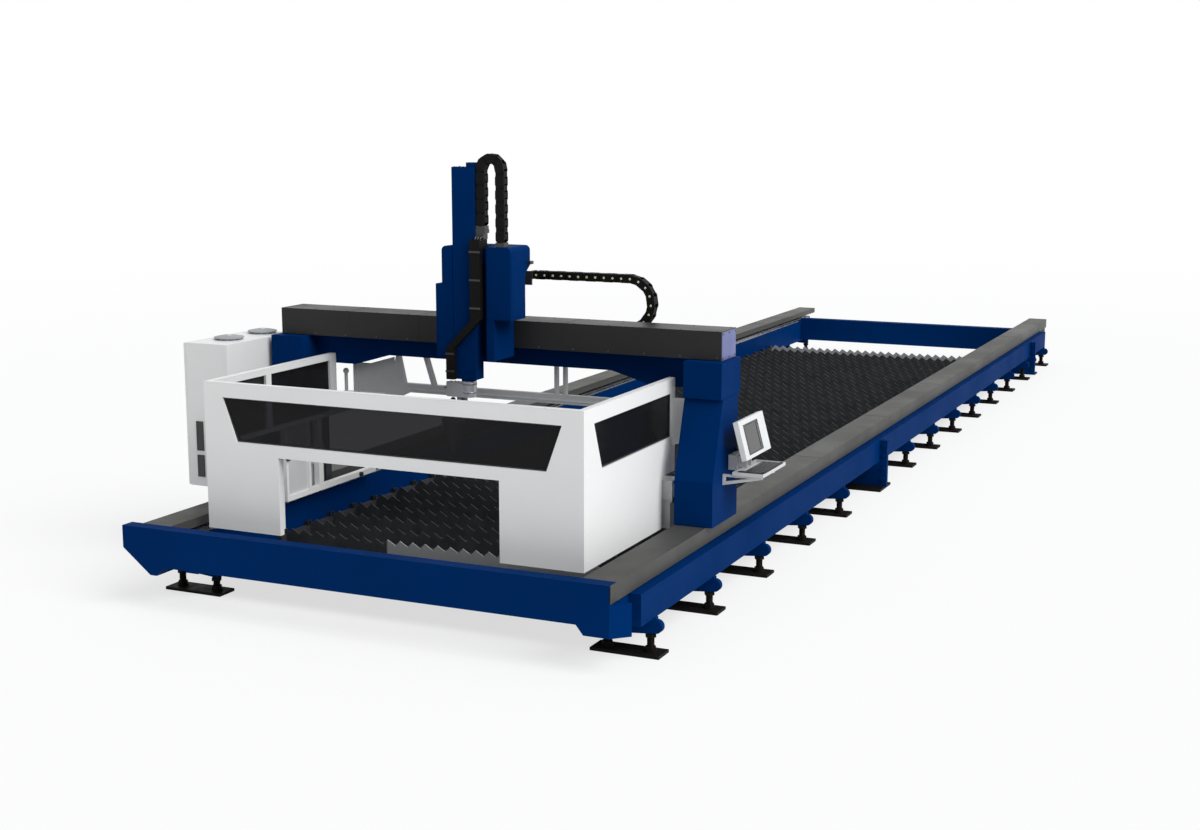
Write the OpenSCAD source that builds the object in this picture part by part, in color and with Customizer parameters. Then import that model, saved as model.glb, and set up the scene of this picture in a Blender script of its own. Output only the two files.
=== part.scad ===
// Gantry laser cutting machine for long steel profiles. Millimetres, +Z up.
// Origin: centre of the footprint on the floor. +Y runs along the bed, away from the operator end.
// Heights are measured from the floor and Y stations from the front face of the base.

/* [Base] */
// Overall length of the rail covers
bed_len = 14220; // [13800:10:15000]
// Inner edge of each rail cover from the centreline
cover_in = 1498; // [1490:1:1505]
// Width of each rail cover
cover_w = 225; // [215:1:240]
// Height of the cover tops above the floor
deck_z = 557; // [540:1:570]
// Sheet thickness of the rail covers
cover_t = 6; // [3:0.5:8]
// Height of the outer skirt of the covers
skirt_out = 109; // [95:1:112]
// Height of the inner skirt of the covers
skirt_in = 62; // [40:1:64]
// How far the rail box stands out past the cover
rail_step = 65; // [45:1:75]
// Width of the inner web of the rail box
web_in = 58; // [50:1:64]
// Height of the rail box underside above the floor
rail_z = 240; // [230:1:250]
// Height of the inner web underside above the floor
web_z = 190; // [184:1:200]
// Plate thickness of the rail boxes
rail_t = 12; // [8:0.5:16]
// Y station where the wide rail box begins
rail_y0 = 290; // [240:5:340]
// Length by which the covers overhang the rail boxes at the rear
rail_overhang = 420; // [380:5:460]
// Y station of the first rail joint
joint_1 = 5625; // [5600:5:5650]
// Length of the last rail section and the overhang behind it
last_len = 1470; // [1400:5:1550]
// Thickness of one joint flange
flange_t = 25; // [18:1:30]
// How far a joint flange stands out past the rail box
flange_out = 65; // [50:1:75]

/* [Cross beams] */
// Depth of the front beam along the machine
front_beam_d = 100; // [80:1:120]
// Height of the front beam underside between the rails
front_beam_z = 300; // [280:1:320]
// How far the front beam stands out past each rail box
front_beam_over = 27; // [15:1:40]
// Plate thickness of the cross beams
beam_t = 12; // [8:0.5:16]
// Distance of the rear beam from the rear end of the covers
rear_beam_in = 820; // [750:5:900]
// Depth of the rear beam along the machine
rear_beam_d = 120; // [100:1:150]
// Height of the rear beam underside
rear_beam_z = 210; // [200:1:230]
// Height of the rear beam
rear_beam_h = 290; // [270:1:295]

/* [Feet] */
// Y station of the first feet
foot_y0 = 520; // [480:5:560]
// Spacing of the feet before the first rail joint
foot_pitch_1 = 995; // [940:5:1010]
// Distance from the first rail joint to the next feet
foot_after_joint = 1035; // [950:5:1060]
// Spacing of the feet behind that
foot_pitch_2 = 962; // [900:2:1000]
// Distance of the last feet from the rear end of the covers
foot_in = 475; // [440:5:520]
// Length of a foot plate across the machine
foot_len = 457; // [440:1:470]
// Depth of a foot plate
foot_d = 163; // [140:1:180]
// Thickness of a foot plate
foot_t = 20; // [15:1:25]
// Depth of the foot plate at the first rail joint
foot_joint_d = 350; // [320:5:380]
// Diameter of a levelling stud
stud_d = 48; // [40:1:56]
// Diameter of a stud collar nut
nut_d = 74; // [66:1:80]
// Height of a stud collar nut
nut_h = 22; // [14:1:30]
// Distance of the outer studs from the centreline
stud_out = 1755; // [1745:1:1765]
// Distance of the inner studs from the centreline
stud_in = 1468; // [1464:1:1472]
// Thickness of a lug plate
lug_t = 44; // [30:1:60]
// Height of the lug underside above the floor
lug_z = 110; // [100:1:120]
// Radius of the lug nose
lug_r = 42; // [38:1:46]

/* [Bed] */
// Y station where the chip tray begins
tray_y0 = 400; // [300:5:600]
// Distance of the rear end of the chip tray from the rear end of the covers
tray_in = 2070; // [1900:10:2400]
// Thickness of the chip tray floor
tray_t = 8; // [5:1:12]
// Height of the tray surface above the floor
tray_z = 190; // [184:1:200]
// Height of a support slat
slat_h = 110; // [90:1:120]
// Thickness of a support slat
slat_t = 8; // [5:1:12]
// Spacing of the support slats
slat_pitch = 300; // [250:10:400]
// Spacing of the slat teeth
tooth_pitch = 100; // [80:1:140]
// Height of a slat tooth
tooth_h = 38; // [25:1:45]
// Y station of the first slat
slat_y0 = 1250; // [1200:10:1350]
// Width of the side bars that hold the slats
slat_bar_w = 40; // [30:1:60]

/* [Guides] */
// Width of a profile guide rail
guide_w = 34; // [28:1:36]
// Height of a profile guide rail
guide_h = 30; // [24:1:34]
// Width and height of a toothed rack bar
rack_s = 24; // [20:1:26]
// Running clearance around a guide rail
guide_gap = 0.4; // [0.3:0.1:2]

/* [Gantry] */
// Y station of the front of the legs at the foot
leg_y0 = 1516; // [1500:1:1530]
// Y station of the back of the legs
leg_y1 = 1980; // [1970:1:2000]
// Y station of the leg front at the top
leg_top_y = 1690; // [1670:1:1700]
// Width of a leg across the machine
leg_w = 269; // [260:1:280]
// Running clearance between a leg and the cover below it
leg_gap = 3; // [2:0.5:6]
// Height where the sloped front of the leg begins
leg_knee_z = 860; // [820:5:900]
// Height of the top of the legs
leg_top_z = 1386; // [1370:1:1400]
// Plate thickness of the legs and crossbeam
leg_t = 12; // [8:0.5:16]
// Height of the crossbeam underside at midspan
xbeam_z = 1503; // [1495:1:1512]
// Height of the underside of the rear header
header_z = 1165; // [1150:1:1180]
// Height of the haunch underside
haunch_z = 1421; // [1410:1:1432]
// Distance from the centreline where the haunch begins
haunch_in = 890; // [840:5:940]
// Distance from the centreline where the haunch is full
haunch_out = 1175; // [1130:5:1220]
// Height of the line where the dark beam cover begins
xcover_z = 1635; // [1628:1:1645]
// Height of the top of the beam cover
xcover_top = 1825; // [1815:1:1832]
// Y station of the front face of the beam cover
xcover_y = 1748; // [1744:1:1752]
// Y station of the front of the crossbeam below the cover
strip_y = 1866; // [1862:1:1880]
// Sheet thickness of the beam cover
xcover_t = 6; // [3:0.5:8]
// How far each end of the beam cover stops short of the outside of a leg
xcover_short = 36; // [20:1:60]
// Y station of the rear face of the crossbeam
xbeam_y1 = 2020; // [2010:1:2030]
// Thickness of the plates that close the crossbeam ends
end_cap_t = 10; // [6:1:14]

/* [Enclosure] */
// Distance of the enclosure sides from the inner edges of the rail covers
encl_in = 113; // [105:1:125]
// Y station of the front face of the enclosure
encl_y0 = 360; // [355:1:400]
// Height of the enclosure underside
encl_z0 = 505; // [503:1:515]
// Height of the enclosure top
encl_z1 = 1493; // [1480:1:1505]
// Thickness of the enclosure panels
panel_t = 45; // [35:1:55]
// Thickness of the window panes
glass_t = 8; // [5:1:12]
// Height of the lower edge of the windows
win_z0 = 1106; // [1095:1:1115]
// Height of the upper edge of the windows
win_z1 = 1397; // [1385:1:1410]
// Half width of the front window at its upper edge
win_top = 1239; // [1225:1:1250]
// Half width of the front window at its lower edge
win_bot = 1134; // [1120:1:1150]
// Half width of the opening below the front window
bay_half = 812; // [790:1:830]
// Height of the top of that opening
bay_z = 1024; // [1010:1:1035]
// Y station where the side panel ends at the top
side_y1 = 1800; // [1780:1:1820]
// Y station where the side panel ends below its notch
side_low_y1 = 1575; // [1560:1:1590]
// Height of the side panel notch
side_notch_z = 860; // [840:1:880]

/* [Carriage] */
// Left edge of the carriage housing
car_x0 = -193; // [-200:1:-186]
// Right edge of the carriage housing
car_x1 = 334; // [326:1:342]
// Y station of the carriage front
car_y0 = 1450; // [1446:1:1455]
// Height of the top of the carriage housing
car_top = 2350; // [2330:1:2370]
// Height of the carriage underside
car_z0 = 1577; // [1570:1:1590]
// Width of the ram
ram_w = 172; // [166:1:176]
// Depth of the ram
ram_d = 105; // [98:1:108]
// Left edge of the ram
ram_x0 = -107; // [-110:1:-104]
// Height of the ram underside
ram_z0 = 1440; // [1430:1:1450]
// Height of the ram top
ram_z1 = 2880; // [2860:1:2900]

/* [Head] */
// Height of the tilt axis
tilt_z = 1222; // [1218:1:1226]
// Sideways offset of the nozzle from the swivel axis
nozzle_off = -129; // [-134:1:-124]
// Length from the tilt axis to the nozzle tip
nozzle_len = 332; // [320:1:336]
// Diameter of the cutting head barrel
barrel_d = 88; // [80:1:96]

/* [Energy chains] */
// Link pitch of the crossbeam chain
xlink = 66; // [60:1:72]
// Height of the crossbeam chain links
xlink_h = 59; // [54:1:64]
// Width of the crossbeam chain
xlink_w = 70; // [60:1:80]
// Outer bend radius of the crossbeam chain
xchain_r = 200; // [185:1:215]
// Link pitch of the ram chain
zlink = 46; // [42:1:50]
// Height of the ram chain links
zlink_h = 66; // [60:1:68]
// Width of the ram chain
zlink_w = 60; // [54:1:64]
// Outer bend radius of the ram chain
zchain_r = 107; // [103:1:111]
// Height of the top of the ram chain above the floor
top_z = 2972; // [2950:1:2990]

/* [Cabinet and console] */
// Space between the left column and the cabinet
cab_gap = 38; // [30:1:50]
// Space between the right column and the keyboard tray
key_tray_gap = 70; // [60:1:90]
// Depth of the keyboard tray
key_tray_d = 215; // [200:1:230]
// Width of the keyboard tray
key_tray_w = 460; // [430:2:480]
// Width of the control cabinet
cab_w = 380; // [370:1:384]
// Y station of the cabinet front
cab_y0 = 1170; // [1160:1:1180]
// Depth of the cabinet
cab_d = 800; // [760:5:840]
// Height of the cabinet underside
cab_z0 = 562; // [560:1:580]
// Height of the cabinet top
cab_z1 = 1610; // [1590:1:1630]
// Sheet thickness of the cabinet
cab_t = 10; // [6:1:14]
// Thickness of the cabinet door
door_t = 18; // [14:1:22]
// Width of the monitor
mon_w = 485; // [460:1:500]
// Height of the monitor
mon_h = 262; // [250:1:280]
// Thickness of the monitor
mon_t = 36; // [28:1:44]
// Lean of the monitor
mon_lean = 15; // [10:1:20]

/* [Hidden] */
$fn = 48;

eps = 0.3;
cover_out = cover_in + cover_w;
rail_out = cover_out + rail_step;
web_x = cover_in - web_in;
sheet_z = deck_z - cover_t;
shoulder_in = deck_z - skirt_in - 40;
shoulder_out = deck_z - skirt_out - 8;
front_beam_half = rail_out + front_beam_over;
rail_y1 = bed_len - rail_overhang;
joint_2 = bed_len - last_len;
rear_beam_y = bed_len - rear_beam_in;
tray_y1 = bed_len - tray_in;
tooth_n = floor(2 * (web_x - slat_bar_w) / tooth_pitch);
slat_n = floor((tray_y1 - slat_y0 - 100) / slat_pitch) + 1;
stations = concat(
    [for (y = [foot_y0:foot_pitch_1:joint_1 - foot_pitch_1]) y],
    [joint_1],
    [for (y = [joint_1 + foot_after_joint:foot_pitch_2:joint_2 - 300]) y],
    [joint_2 + 175, bed_len - foot_in]);
leg_x1 = cover_in + leg_w;
xcover_half = leg_x1 - xcover_short;
encl_half = cover_in - encl_in;
cab_reach = leg_x1 + cab_gap + cab_w;
tray_reach = leg_x1 + key_tray_gap + key_tray_d;
centre_x = (cab_reach - tray_reach) / 2;
leg_z0 = deck_z + leg_gap;
ram_x1 = ram_x0 + ram_w;
ram_y1 = car_y0 + ram_d;
swivel_x = ram_x0 + ram_w / 2;
swivel_y = car_y0 + ram_d / 2;
slot_y = ram_y1 + 45;
noz_x = swivel_x + nozzle_off;
blue = [0.0, 0.10, 0.30];
dark = [0.14, 0.14, 0.14];
white = [0.86, 0.86, 0.86];
steel = [0.55, 0.56, 0.58];

// Sets the machine centreline and the front face of the base in the frame of the part
module front() { translate([centre_x, -bed_len / 2, 0]) children(); }
// Box between two corners
module box(a, b) { translate(a) cube(b - a); }
// Profile in X and Z, pushed along Y
module xz(y0, y1) { translate([0, y1, 0]) rotate([90, 0, 0]) linear_extrude(y1 - y0) children(); }
// Profile in Y and Z, pushed along X
module yz(x0, x1) { translate([x0, 0, 0]) rotate([90, 0, 90]) linear_extrude(x1 - x0) children(); }
// Child and its mirror image across the centreline
module pair() { children(); mirror([1, 0, 0]) children(); }
module disc_x(x, y, z, d, h) { translate([x, y, z]) rotate([0, 90, 0]) cylinder(d = d, h = h); }
module disc_y(x, y, z, d, h) { translate([x, y, z]) rotate([-90, 0, 0]) cylinder(d = d, h = h); }

// Base
module front_beam() {
    color(blue) front() difference() {
        intersection() {
            xz(0, front_beam_d) polygon([
                [-front_beam_half, deck_z], [-front_beam_half, deck_z - 150],
                [-front_beam_half + 216, rail_z], [-cover_in - 48, rail_z], [-cover_in, front_beam_z],
                [cover_in, front_beam_z], [cover_in + 48, rail_z], [front_beam_half, rail_z],
                [front_beam_half, deck_z - skirt_out - 4], [cover_out - 11, deck_z - skirt_out - 4],
                [cover_out - 11, deck_z]]);
            translate([0, 0, 100]) linear_extrude(deck_z) polygon([
                [-front_beam_half - 5, 0], [front_beam_half - front_beam_d - 3, 0],
                [front_beam_half - 3, front_beam_d], [-front_beam_half - 5, front_beam_d]]);
        }
        box([-web_x + 60, beam_t, front_beam_z + beam_t],
            [web_x - 60, front_beam_d + 1, deck_z - beam_t]);
    }
}

module rear_beam() {
    color(blue) front() difference() {
        box([-web_x, rear_beam_y, rear_beam_z],
            [web_x, rear_beam_y + rear_beam_d, rear_beam_z + rear_beam_h]);
        box([-web_x - 1, rear_beam_y + beam_t, rear_beam_z + beam_t],
            [web_x + 1, rear_beam_y + rear_beam_d - beam_t, rear_beam_z + rear_beam_h - beam_t]);
    }
}

// Cross-section of a rail box, inset by t
module rail_profile(t) {
    polygon([
        [web_x + t, web_z + t], [web_x + 105 - t, web_z + t], [web_x + 105 - t, rail_z + t],
        [rail_out - t, rail_z + t], [rail_out - t, shoulder_out - t],
        [cover_out - 18 - t, shoulder_out - t], [cover_out - 18 - t, sheet_z - t],
        [cover_in + 40 + t, sheet_z - t], [cover_in + 40 + t, shoulder_in - t],
        [web_x + t, shoulder_in - t]]);
}

// Joint flange of a rail box
module rail_flange() {
    difference() {
        polygon([
            [web_x, foot_t], [rail_out + flange_out, foot_t],
            [rail_out + flange_out, shoulder_out - 10], [web_x, shoulder_out - 10]]);
        for (z = bolt_z) translate([rail_out + flange_out / 2, z]) circle(d = 25);
    }
}

// One length of rail box. f0 and f1 put a flange on its ends, c0 and c1 are the plates that close them.
module rail_length(y0, y1, f0, f1, c0, c1) {
    difference() {
        union() {
            xz(y0, y1) rail_profile(0);
            if (f0) xz(y0, y0 + flange_t) rail_flange();
            if (f1) xz(y1 - flange_t, y1) rail_flange();
        }
        xz(c0 > 0 ? y0 + c0 : y0 - 1, c1 > 0 ? y1 - c1 : y1 + 1) rail_profile(rail_t);
    }
}

module rail() {
    rail_length(rail_y0, joint_1 - eps, false, true, rail_t, 0);
    rail_length(joint_1, joint_2 - eps, true, true, 0, 0);
    rail_length(joint_2, rail_y1, true, false, 0, rail_t);
    // Narrow neck between the front beam and the rail box
    difference() {
        box([cover_in + 50, front_beam_d, rail_z], [cover_out - 18, rail_y0, shoulder_out]);
        box([cover_in + 50 + rail_t, front_beam_d - 1, rail_z + rail_t],
            [cover_out - 18 - rail_t, rail_y0 - 1, shoulder_out - rail_t]);
    }
}

module left_rail() { color(blue) front() mirror([1, 0, 0]) rail(); }
module right_rail() { color(blue) front() rail(); }

module rail_cover() {
    xz(0, bed_len) polygon([
        [cover_in, deck_z], [cover_in, deck_z - skirt_in], [cover_in + cover_t, deck_z - skirt_in],
        [cover_in + cover_t, sheet_z], [cover_out - cover_t, sheet_z],
        [cover_out - cover_t, deck_z - skirt_out], [cover_out, deck_z - skirt_out],
        [cover_out, deck_z]]);
}

// The front beam stands in the end of the cover, flush with its top
module cut_cover(outer) {
    difference() {
        rail_cover();
        box([cover_in - 5, -1, deck_z - 200], [outer, front_beam_d + eps, deck_z + 1]);
    }
}
module left_rail_cover() { color(dark) front() mirror([1, 0, 0]) cut_cover(cover_out + 5); }
module right_rail_cover() { color(dark) front() cut_cover(cover_out - 8); }

// Hexagon bolts that clamp the rail joint flanges
bolt_z = [90, 180, 300, 390];
module joint_bolts() {
    color(steel) front() pair() for (y = [joint_1, joint_2], z = bolt_z)
        translate([rail_out + flange_out / 2, y, z]) rotate([-90, 0, 0]) {
            translate([0, 0, -flange_t - 15 - eps]) cylinder(d = 40, h = 15, $fn = 6);
            translate([0, 0, -flange_t - 1]) cylinder(d = 24, h = 2 * flange_t + 12);
            translate([0, 0, flange_t]) cylinder(d = 40, h = 18, $fn = 6);
        }
}

module end_stops() {
    color([0.06, 0.06, 0.06]) front() pair()
        box([cover_in + 60, rail_y1, rail_z + 130], [cover_out - 10, bed_len - 30, shoulder_out + 5]);
}

// Profile guide rails with the toothed racks of the long axis beside them
module y_guides() {
    color(steel) front() pair() {
        xz(rail_y0 + 20, rail_y1 - 20) polygon([
            [web_x + 6, shoulder_in], [web_x + 6 + guide_w, shoulder_in],
            [web_x + 6 + guide_w, shoulder_in + 9], [web_x + guide_w, shoulder_in + 14],
            [web_x + guide_w, shoulder_in + 19], [web_x + 6 + guide_w, shoulder_in + 23],
            [web_x + 6 + guide_w, shoulder_in + guide_h], [web_x + 6, shoulder_in + guide_h],
            [web_x + 6, shoulder_in + 23], [web_x + 12, shoulder_in + 19],
            [web_x + 12, shoulder_in + 14], [web_x + 6, shoulder_in + 9]]);
        box([cover_in + 40 - rack_s, rail_y0 + 20, shoulder_in],
            [cover_in + 40, rail_y1 - 20, shoulder_in + rack_s]);
    }
}

// Plate with a rounded nose under each rail station
module foot_lugs() {
    color(blue) front() pair() for (y = stations) {
        difference() {
            union() {
                xz(y - lug_t / 2, y + lug_t / 2) polygon([
                    [web_x, lug_z], [rail_out + 7, lug_z + 30], [rail_out + 7, rail_z - eps],
                    [web_x + 105, rail_z - eps], [web_x + 105, web_z - eps], [web_x, web_z - eps]]);
                disc_y(rail_out + 7, y - lug_t / 2, lug_z + 30 + lug_r, 2 * lug_r, lug_t);
            }
            // The foot of a rail joint carries the flanges instead
            for (j = [joint_1, joint_2])
                box([web_x - 5, j - flange_t - 0.5, 0], [rail_out + 80, j + flange_t + 0.5, rail_z + 30]);
            box([rail_out - 2, y - lug_t, rail_z - eps], [rail_out + 90, y + lug_t, rail_z + 90]);
        }
    }
}

module foot_studs() {
    color([0.10, 0.10, 0.11]) front() pair() for (y = stations, x = [stud_in, stud_out]) {
        dy = y == joint_1 ? 100 : 0;
        slope = 30 / (rail_out + 7 - web_x);
        top = y == joint_1 ? (x == stud_in ? web_z : rail_z) : lug_z + (x - stud_d / 2 - web_x) * slope;
        translate([x, y + dy, foot_t]) cylinder(d = stud_d, h = top - foot_t - eps);
        translate([x, y + dy, foot_t]) cylinder(d = nut_d, h = nut_h);
    }
}

module foot_plates() {
    color([0.07, 0.065, 0.06]) front() pair() for (y = stations) {
        d = y == joint_1 ? foot_joint_d : foot_d;
        box([cover_out + 118 - foot_len, y - d / 2, 0], [cover_out + 118, y + d / 2, foot_t]);
    }
}

module bed_bearers() {
    color(blue) front() for (y = [for (s = stations) if (s > slat_y0 - slat_pitch && s < tray_y1) s])
        difference() {
            box([-web_x, y - 40, tray_z - tray_t - 70], [web_x, y + 40, tray_z - tray_t]);
            box([-web_x - 1, y - 34, tray_z - tray_t - 64], [web_x + 1, y + 34, tray_z - tray_t - 6]);
        }
}

module chip_tray() {
    color([0.18, 0.19, 0.20]) front() {
        box([-web_x, tray_y0, tray_z - tray_t], [web_x, tray_y1, tray_z]);
        for (s = [-1, 1]) translate([s * (web_x - slat_bar_w / 2), 0, 0])
            box([-slat_bar_w / 2, slat_y0 - 60, tray_z], [slat_bar_w / 2, tray_y1 - 20, tray_z + 60]);
    }
}

// One toothed slat, seen along the machine
module slat_profile() {
    w = web_x - slat_bar_w - 1;
    n = tooth_n;
    p = 2 * w / n;
    polygon(concat(
        [[-w, 0]],
        [for (i = [0:n - 1], k = [0:1])
            [-w + p * (i + (k == 0 ? 0.12 : 0.5)), k == 0 ? slat_h - tooth_h : slat_h]],
        [[w - p * 0.12, slat_h - tooth_h], [w, slat_h - tooth_h], [w, 0]]));
}

module bed_slats() {
    color([0.30, 0.30, 0.31]) front() for (i = [0:slat_n - 1])
        translate([0, slat_y0 + i * slat_pitch, tray_z]) xz(0, slat_t) slat_profile();
}

// Gantry
module leg() {
    difference() {
        yz(cover_in, leg_x1) polygon([
            [leg_y0, leg_z0], [leg_y1, leg_z0], [leg_y1, leg_top_z], [leg_top_y, leg_top_z],
            [leg_y0, leg_knee_z]]);
        yz(cover_in + leg_t, leg_x1 - leg_t) polygon([
            [leg_y0 + leg_t, leg_z0 - 1], [leg_y1 - leg_t, leg_z0 - 1], [leg_y1 - leg_t, leg_top_z - leg_t],
            [leg_top_y + leg_t - 4, leg_top_z - leg_t], [leg_y0 + leg_t, leg_knee_z + 2]]);
    }
}
module left_leg() { color(blue) front() mirror([1, 0, 0]) leg(); }
module right_leg() { color(blue) front() leg(); }

module crossbeam() {
    core_y = xcover_y + 12;
    core_z = xcover_top - xcover_t;
    cap_x = xcover_half - end_cap_t;
    color(blue) front() difference() {
        union() {
            xz(strip_y, xbeam_y1) polygon([
                [-leg_x1, leg_top_z], [-cover_in, leg_top_z], [-cover_in, haunch_z], [-haunch_out, haunch_z],
                [-haunch_in, xbeam_z], [haunch_in, xbeam_z], [haunch_out, haunch_z], [cover_in, haunch_z],
                [cover_in, leg_top_z], [leg_x1, leg_top_z], [leg_x1, xcover_z - 5], [-leg_x1, xcover_z - 5]]);
            pair() box([cover_in, leg_top_y - 30, leg_top_z], [leg_x1, strip_y + 1, xcover_z - 5]);
            box([-cap_x, core_y, xcover_z - 6], [cap_x, xbeam_y1, core_z]);
        }
        box([-leg_x1, core_y + leg_t, xcover_z + 8], [leg_x1, xbeam_y1 - leg_t, core_z - leg_t]);
    }
}

module beam_end_caps() {
    color([0.36, 0.38, 0.56]) front() pair()
        box([xcover_half - end_cap_t, xcover_y + 12, xcover_z - 4],
            [xcover_half, xbeam_y1, xcover_top - xcover_t]);
}

module beam_cover() {
    color(dark) front() yz(-xcover_half, xcover_half) polygon([
        [xcover_y, xcover_z], [xcover_y, xcover_top], [xbeam_y1 + xcover_t, xcover_top],
        [xbeam_y1 + xcover_t, xcover_top - 25], [xbeam_y1, xcover_top - 25],
        [xbeam_y1, xcover_top - xcover_t],
        [xcover_y + xcover_t, xcover_top - xcover_t], [xcover_y + xcover_t, xcover_z]]);
}

// Heights of the two guides on the rear face of the crossbeam
xg = [xbeam_z + 45, xcover_top - 80];
module x_guides() {
    color(steel) front() {
        for (z = xg) yz(-cover_in + 40, cover_in - 40) polygon([
            [xbeam_y1, z - guide_w / 2], [xbeam_y1 + 9, z - guide_w / 2],
            [xbeam_y1 + 14, z - guide_w / 2 + 6],
            [xbeam_y1 + 19, z - guide_w / 2 + 6], [xbeam_y1 + 23, z - guide_w / 2],
            [xbeam_y1 + guide_h, z - guide_w / 2], [xbeam_y1 + guide_h, z + guide_w / 2],
            [xbeam_y1 + 23, z + guide_w / 2], [xbeam_y1 + 19, z + guide_w / 2 - 6],
            [xbeam_y1 + 14, z + guide_w / 2 - 6], [xbeam_y1 + 9, z + guide_w / 2],
            [xbeam_y1, z + guide_w / 2]]);
        box([-cover_in + 40, xbeam_y1, (xg[0] + xg[1]) / 2 - rack_s / 2],
            [cover_in - 40, xbeam_y1 + rack_s, (xg[0] + xg[1]) / 2 + rack_s / 2]);
    }
}

// Carriage blocks of the long axis, with the brackets that carry the legs
module y_guide_blocks() {
    gx = web_x + 6;
    color([0.40, 0.41, 0.43]) front() pair() for (y = [leg_y0 + 9, leg_y1 - 110]) {
        difference() {
            union() {
                box([gx - 14, y, shoulder_in + 6], [gx + guide_w + 8, y + 80, shoulder_in + guide_h + 14]);
                box([gx + 20, y, shoulder_in + guide_h + 10], [cover_in - 3, y + 80, leg_z0 + 2]);
                box([gx + 20, y, leg_z0], [cover_in, y + 80, leg_z0 + 140]);
            }
            box([gx - guide_gap, y - 1, shoulder_in - 1],
                [gx + guide_w + guide_gap, y + 81, shoulder_in + guide_h + guide_gap]);
        }
    }
}

// Drive of the long axis on one side, reaching in to the distance x0 from the centreline
module y_drive(x0) {
    box([x0, side_low_y1 + 25, 700], [encl_half + 65, side_low_y1 + 175, 830]);
    box([x0 + 10, side_low_y1 + 35, 502], [encl_half + 60, side_low_y1 + 170, 700]);
    box([encl_half + 65, side_low_y1 + 45, 720], [cover_in, side_low_y1 + 165, 810]);
}
module y_drive_housings() {
    color([0.72, 0.72, 0.73]) front() {
        y_drive(encl_half - 75);
        mirror([1, 0, 0]) y_drive(encl_half + 3);
    }
}

// Enclosure
module front_panel() {
    color(white) front() xz(encl_y0, encl_y0 + panel_t) difference() {
        polygon([[-encl_half, encl_z0], [encl_half, encl_z0], [encl_half, encl_z1], [-encl_half, encl_z1]]);
        polygon([[-bay_half, encl_z0 - 1], [bay_half, encl_z0 - 1], [bay_half, bay_z], [-bay_half, bay_z]]);
        polygon([[-win_bot, win_z0], [win_bot, win_z0], [win_top, win_z1], [-win_top, win_z1]]);
    }
}

// Tinted pane set in the window of the front panel
module front_window() {
    color([0.12, 0.12, 0.13, 0.6]) front()
        xz(encl_y0 + panel_t / 2 - glass_t / 2, encl_y0 + panel_t / 2 + glass_t / 2)
            polygon([[-win_bot, win_z0], [win_bot, win_z0], [win_top, win_z1], [-win_top, win_z1]]);
}

module side_window() {
    polygon([
        [encl_y0 + 262, win_z0 - 6], [side_y1 - 60, win_z0 - 6],
        [side_y1 - 60, win_z1], [encl_y0 + 145, win_z1]]);
}

module right_panel() {
    color([0.93, 0.93, 0.93]) front() yz(encl_half - panel_t, encl_half) difference() {
        polygon([
            [encl_y0 + panel_t, encl_z0], [side_low_y1, encl_z0], [side_low_y1, side_notch_z],
            [side_y1, side_notch_z], [side_y1, encl_z1], [encl_y0 + panel_t, encl_z1]]);
        side_window();
    }
}

module right_window() {
    color([0.12, 0.12, 0.13, 0.6]) front()
        yz(encl_half - panel_t / 2 - glass_t / 2, encl_half - panel_t / 2 + glass_t / 2) side_window();
}

// Open frame on the cabinet side
lf_post = side_y1 - 20;
lf_low = [1195, 2370];
lf_mid = [1040, 1070];
module left_frame() {
    y0 = encl_y0 + panel_t;
    color(white) front() mirror([1, 0, 0]) yz(encl_half - panel_t, encl_half) difference() {
        polygon([
            [y0, lf_mid[0]], [lf_low[0], lf_mid[0]], [lf_low[0], encl_z0], [lf_low[1], encl_z0],
            [lf_low[1], encl_z0 + 40], [2080, encl_z0 + 40 + 495], [2080, lf_mid[1]],
            [lf_post + 80, lf_mid[1]], [lf_post + 80, encl_z1], [y0, encl_z1]]);
        polygon([[y0 + 30, lf_mid[1]], [990, lf_mid[1]], [990, encl_z1 - 43], [y0 + 30, encl_z1 - 43]]);
        polygon([[1050, lf_mid[1]], [lf_post, lf_mid[1]], [lf_post, encl_z1 - 43], [1050, encl_z1 - 43]]);
        polygon([
            [lf_low[0] + 25, encl_z0 + 40], [1470, encl_z0 + 40],
            [1470, lf_mid[0]], [lf_low[0] + 25, lf_mid[0]]]);
        polygon([[1500, encl_z0 + 40], [1600, encl_z0 + 40], [1600, lf_mid[0]], [1500, lf_mid[0]]]);
        polygon([[1650, encl_z0 + 40], [lf_low[1] + 1, encl_z0 + 40], [2081, lf_mid[0]], [1650, lf_mid[0]]]);
    }
}

module left_windows() {
    color([0.12, 0.12, 0.13, 0.6]) front() mirror([1, 0, 0])
        for (s = [[encl_y0 + panel_t + 30, 990], [1050, lf_post]])
            box([encl_half - panel_t / 2 - glass_t / 2, s[0], lf_mid[1]],
                [encl_half - panel_t / 2 + glass_t / 2, s[1], encl_z1 - 43]);
}

module left_infill() {
    color([0.62, 0.62, 0.62]) front() mirror([1, 0, 0])
        box([encl_half - 30, lf_low[0] + 25, encl_z0 + 40], [encl_half - 20, 1470, lf_mid[0]]);
}

// Black knobs on the open frame
module frame_knobs() {
    color([0.05, 0.05, 0.05]) front() for (p = [[lf_low[0] + 12, 820], [2147, encl_z0 + 20]])
        disc_x(-encl_half + panel_t, p[0], p[1], 34, 18);
}

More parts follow.
